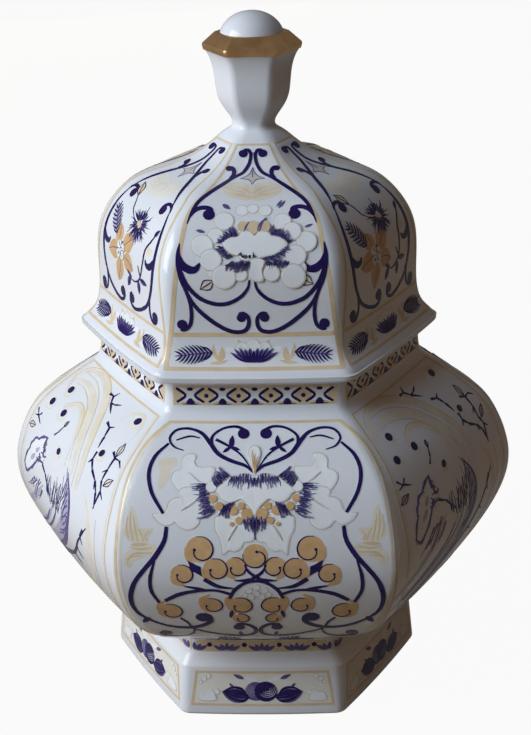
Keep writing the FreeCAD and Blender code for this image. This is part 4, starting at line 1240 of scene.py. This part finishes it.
def noise_node(nodes, links, scale, detail):
    """A noise over the piece's own coordinates."""
    source = nodes.new("ShaderNodeTexCoord")
    noise = nodes.new("ShaderNodeTexNoise")
    noise.inputs["Scale"].default_value = scale
    noise.inputs["Detail"].default_value = detail
    links.new(source.outputs["Object"], noise.inputs["Vector"])
    return noise


def ramp_node(nodes, links, source, stops):
    """A colour ramp over a factor, from (place, colour) stops."""
    ramp = nodes.new("ShaderNodeValToRGB")
    elements = ramp.color_ramp.elements
    while len(elements) < len(stops):
        elements.new(0.5)
    for element, (place, colour) in zip(elements, stops):
        element.position = place
        element.color = (*colour, 1)
    links.new(source, ramp.inputs["Fac"])
    return ramp


def mottled_material(name, scale, detail, stops, roughness):
    """A material whose colour drifts between tones. Returns it with its nodes, links, shader and noise."""
    material, nodes, links, shader = new_material(name)
    noise = noise_node(nodes, links, scale, detail)
    ramp = ramp_node(nodes, links, noise.outputs["Fac"], stops)
    links.new(ramp.outputs["Color"], shader.inputs["Base Color"])
    shader.inputs["Roughness"].default_value = roughness
    return material, nodes, links, shader, noise


def add_bump(nodes, links, shader, noise, strength, distance):
    """A small unevenness of a surface."""
    bump = nodes.new("ShaderNodeBump")
    bump.inputs["Strength"].default_value = strength
    bump.inputs["Distance"].default_value = distance
    links.new(noise.outputs["Fac"], bump.inputs["Height"])
    links.new(bump.outputs["Normal"], shader.inputs["Normal"])


def porcelain_material():
    """White porcelain under a clear glaze that pools and ripples a little."""
    tones = [(0.3, (0.76, 0.785, 0.85)), (0.7, (0.80, 0.82, 0.875))]
    material, nodes, links, shader, _ = mottled_material("porcelain", 22.0, 3.0, tones, 0.12)
    ripple = noise_node(nodes, links, 60.0, 1.5)
    add_bump(nodes, links, shader, ripple, 0.05, 0.002)
    shader.inputs["IOR"].default_value = GLAZE_IOR
    return material


def enamel_material(name, light, dark, scale, roughness):
    """A printed enamel under the glaze, with the fine unevenness of its print."""
    tones = [(0.32, dark), (0.68, light)]
    material, nodes, links, shader, grain = mottled_material(name, scale, 4.0, tones, roughness)
    add_bump(nodes, links, shader, grain, 0.12, 0.0004)
    shader.inputs["IOR"].default_value = GLAZE_IOR
    shader.inputs["Specular IOR Level"].default_value = 0.3
    return material


def ink_materials():
    """The enamel colours of the ornament."""
    return {ink: enamel_material(f"{ink}_enamel", *looks[2:]) for ink, looks in INKS.items()}


def gilt_material():
    """Burnished gilding, worn thin in places."""
    tones = [(0.35, (0.60, 0.36, 0.17)), (0.65, (0.72, 0.47, 0.25))]
    material, _, _, shader, _ = mottled_material("gilt", 140.0, 6.0, tones, 0.37)
    shader.inputs["Metallic"].default_value = 1.0
    return material


def seen_share(nodes, links, camera_share):
    """How much of the white ground shows: a share in the view, less in gloss and all of it through glass."""
    path = nodes.new("ShaderNodeLightPath")
    share = path.outputs["Is Transmission Ray"]
    for ray, weight in (("Is Glossy Ray", MIRRORED_SHARE), ("Is Camera Ray", camera_share)):
        total = nodes.new("ShaderNodeMath")
        total.operation = "MULTIPLY_ADD"
        total.use_clamp = True
        total.inputs[1].default_value = weight
        links.new(path.outputs[ray], total.inputs[0])
        links.new(share, total.inputs[2])
        share = total.outputs[0]
    return share


def blend_node(nodes, links, share, plain, white, output):
    """Blend a plain surface with a white one by a share."""
    blend = nodes.new("ShaderNodeMixShader")
    links.new(share, blend.inputs["Fac"])
    links.new(plain, blend.inputs[1])
    links.new(white, blend.inputs[2])
    links.new(blend.outputs["Shader"], output.inputs["Surface"])


def build_floor():
    """A pale floor that keeps the shadow."""
    size = FLOOR_HALF
    mesh = bpy.data.meshes.new("floor")
    corners = [(-size, -size, 0), (size, -size, 0), (size, size, 0), (-size, size, 0)]
    mesh.from_pydata(corners, [], [(0, 1, 2, 3)])
    floor = bpy.data.objects.new("floor", mesh)
    bpy.context.scene.collection.objects.link(floor)
    material, nodes, links, shader = new_material("floor")
    shader.inputs["Base Color"].default_value = (0.22, 0.165, 0.11, 1)
    shader.inputs["Roughness"].default_value = 0.9
    shader.inputs["Specular IOR Level"].default_value = 0.0
    glow = nodes.new("ShaderNodeEmission")
    glow.inputs["Color"].default_value = (1, 1, 1, 1)
    glow.inputs["Strength"].default_value = 1.0
    share = seen_share(nodes, links, FLOOR_SHARE)
    output = nodes["Material Output"]
    blend_node(nodes, links, share, shader.outputs["BSDF"], glow.outputs["Emission"], output)
    mesh.materials.append(material)


def build_surround():
    """A plain white surround with a weak warm fill."""
    world = bpy.data.worlds.new("surround")
    world.use_nodes = True
    bpy.context.scene.world = world
    nodes, links = world.node_tree.nodes, world.node_tree.links
    fill = nodes["Background"]
    fill.inputs["Color"].default_value = (1.0, 0.74, 0.5, 1)
    fill.inputs["Strength"].default_value = 0.042
    white = nodes.new("ShaderNodeBackground")
    white.inputs["Color"].default_value = (1, 1, 1, 1)
    white.inputs["Strength"].default_value = 1.0
    share = seen_share(nodes, links, 1.0)
    output = nodes["World Output"]
    blend_node(nodes, links, share, fill.outputs["Background"], white.outputs["Background"], output)


def aim(thing, place, target, roll=0.0):
    """Put a lamp or camera at a place, looking at a target, rolled about its line of sight."""
    back = (Vector(place) - Vector(target)).normalized()
    turn = back.to_track_quat("Z", "Y").to_matrix()
    turn = turn @ Matrix.Rotation(roll, 3, "Z")
    thing.matrix_world = Matrix.Translation(Vector(place)) @ turn.to_4x4()


def add_lamp(name, place, size, power, colour, mirrored=True):
    """A soft rectangular lamp that looks at the middle of the jar, and may be left out of reflections."""
    lamp = bpy.data.lights.new(name, "AREA")
    lamp.shape = "RECTANGLE"
    lamp.size, lamp.size_y = size
    lamp.energy = power
    lamp.color = colour
    thing = bpy.data.objects.new(name, lamp)
    thing.visible_glossy = mirrored
    bpy.context.scene.collection.objects.link(thing)
    aim(thing, place, LAMP_TARGET)


def build_lights():
    """A large soft key from the left, weaker lamps in front and behind, and a warm fill from the right."""
    add_lamp("key_lamp", (-1.32, -0.46, 0.74), (0.9, 1.1), 20.3, (0.975, 0.985, 0.99))
    add_lamp("front_lamp", (-0.95, -0.95, 1.4), (0.9, 0.6), 9.6, (0.58, 0.8, 1.0), False)
    add_lamp("back_lamp", (-0.4, 1.6, 0.3), (0.9, 0.9), 9, (1.0, 0.98, 0.95), False)
    add_lamp("right_lamp", (1.2, -0.4, 0.8), (0.7, 0.9), 0.7, (1.0, 0.52, 0.27))


# The camera, from the jar's outline and corners in the photograph.
PHOTO_WIDTH = 531
PHOTO_HEIGHT = 735
FOCAL_PIXELS = 1497.3
AXIS_PIXEL = (259.3, 349.8)
SENSOR = 36.0
CAMERA_PLACE = (0.0223, -0.6129, 0.4088)
CAMERA_TARGET = (0, 0, 0.15046)
CAMERA_ROLL = math.radians(-1.381)


def build_camera():
    """The photograph's view, from a little above and in front."""
    camera = bpy.data.cameras.new("camera")
    camera.sensor_width = SENSOR
    camera.lens = FOCAL_PIXELS * SENSOR / PHOTO_HEIGHT
    camera.shift_x = (PHOTO_WIDTH / 2 - AXIS_PIXEL[0]) / PHOTO_HEIGHT
    camera.shift_y = (AXIS_PIXEL[1] - PHOTO_HEIGHT / 2) / PHOTO_HEIGHT
    thing = bpy.data.objects.new("camera", camera)
    bpy.context.scene.collection.objects.link(thing)
    aim(thing, CAMERA_PLACE, CAMERA_TARGET, CAMERA_ROLL)
    bpy.context.scene.camera = thing


porcelain = porcelain_material()
gilt = gilt_material()
build_foot(porcelain)
build_jar(porcelain)
build_dome(porcelain)
build_flange(porcelain)
build_finial(porcelain, gilt)
decorate(ink_materials())
build_floor()
build_surround()
build_lights()
build_camera()

bpy.context.scene.view_settings.view_transform = "Standard"
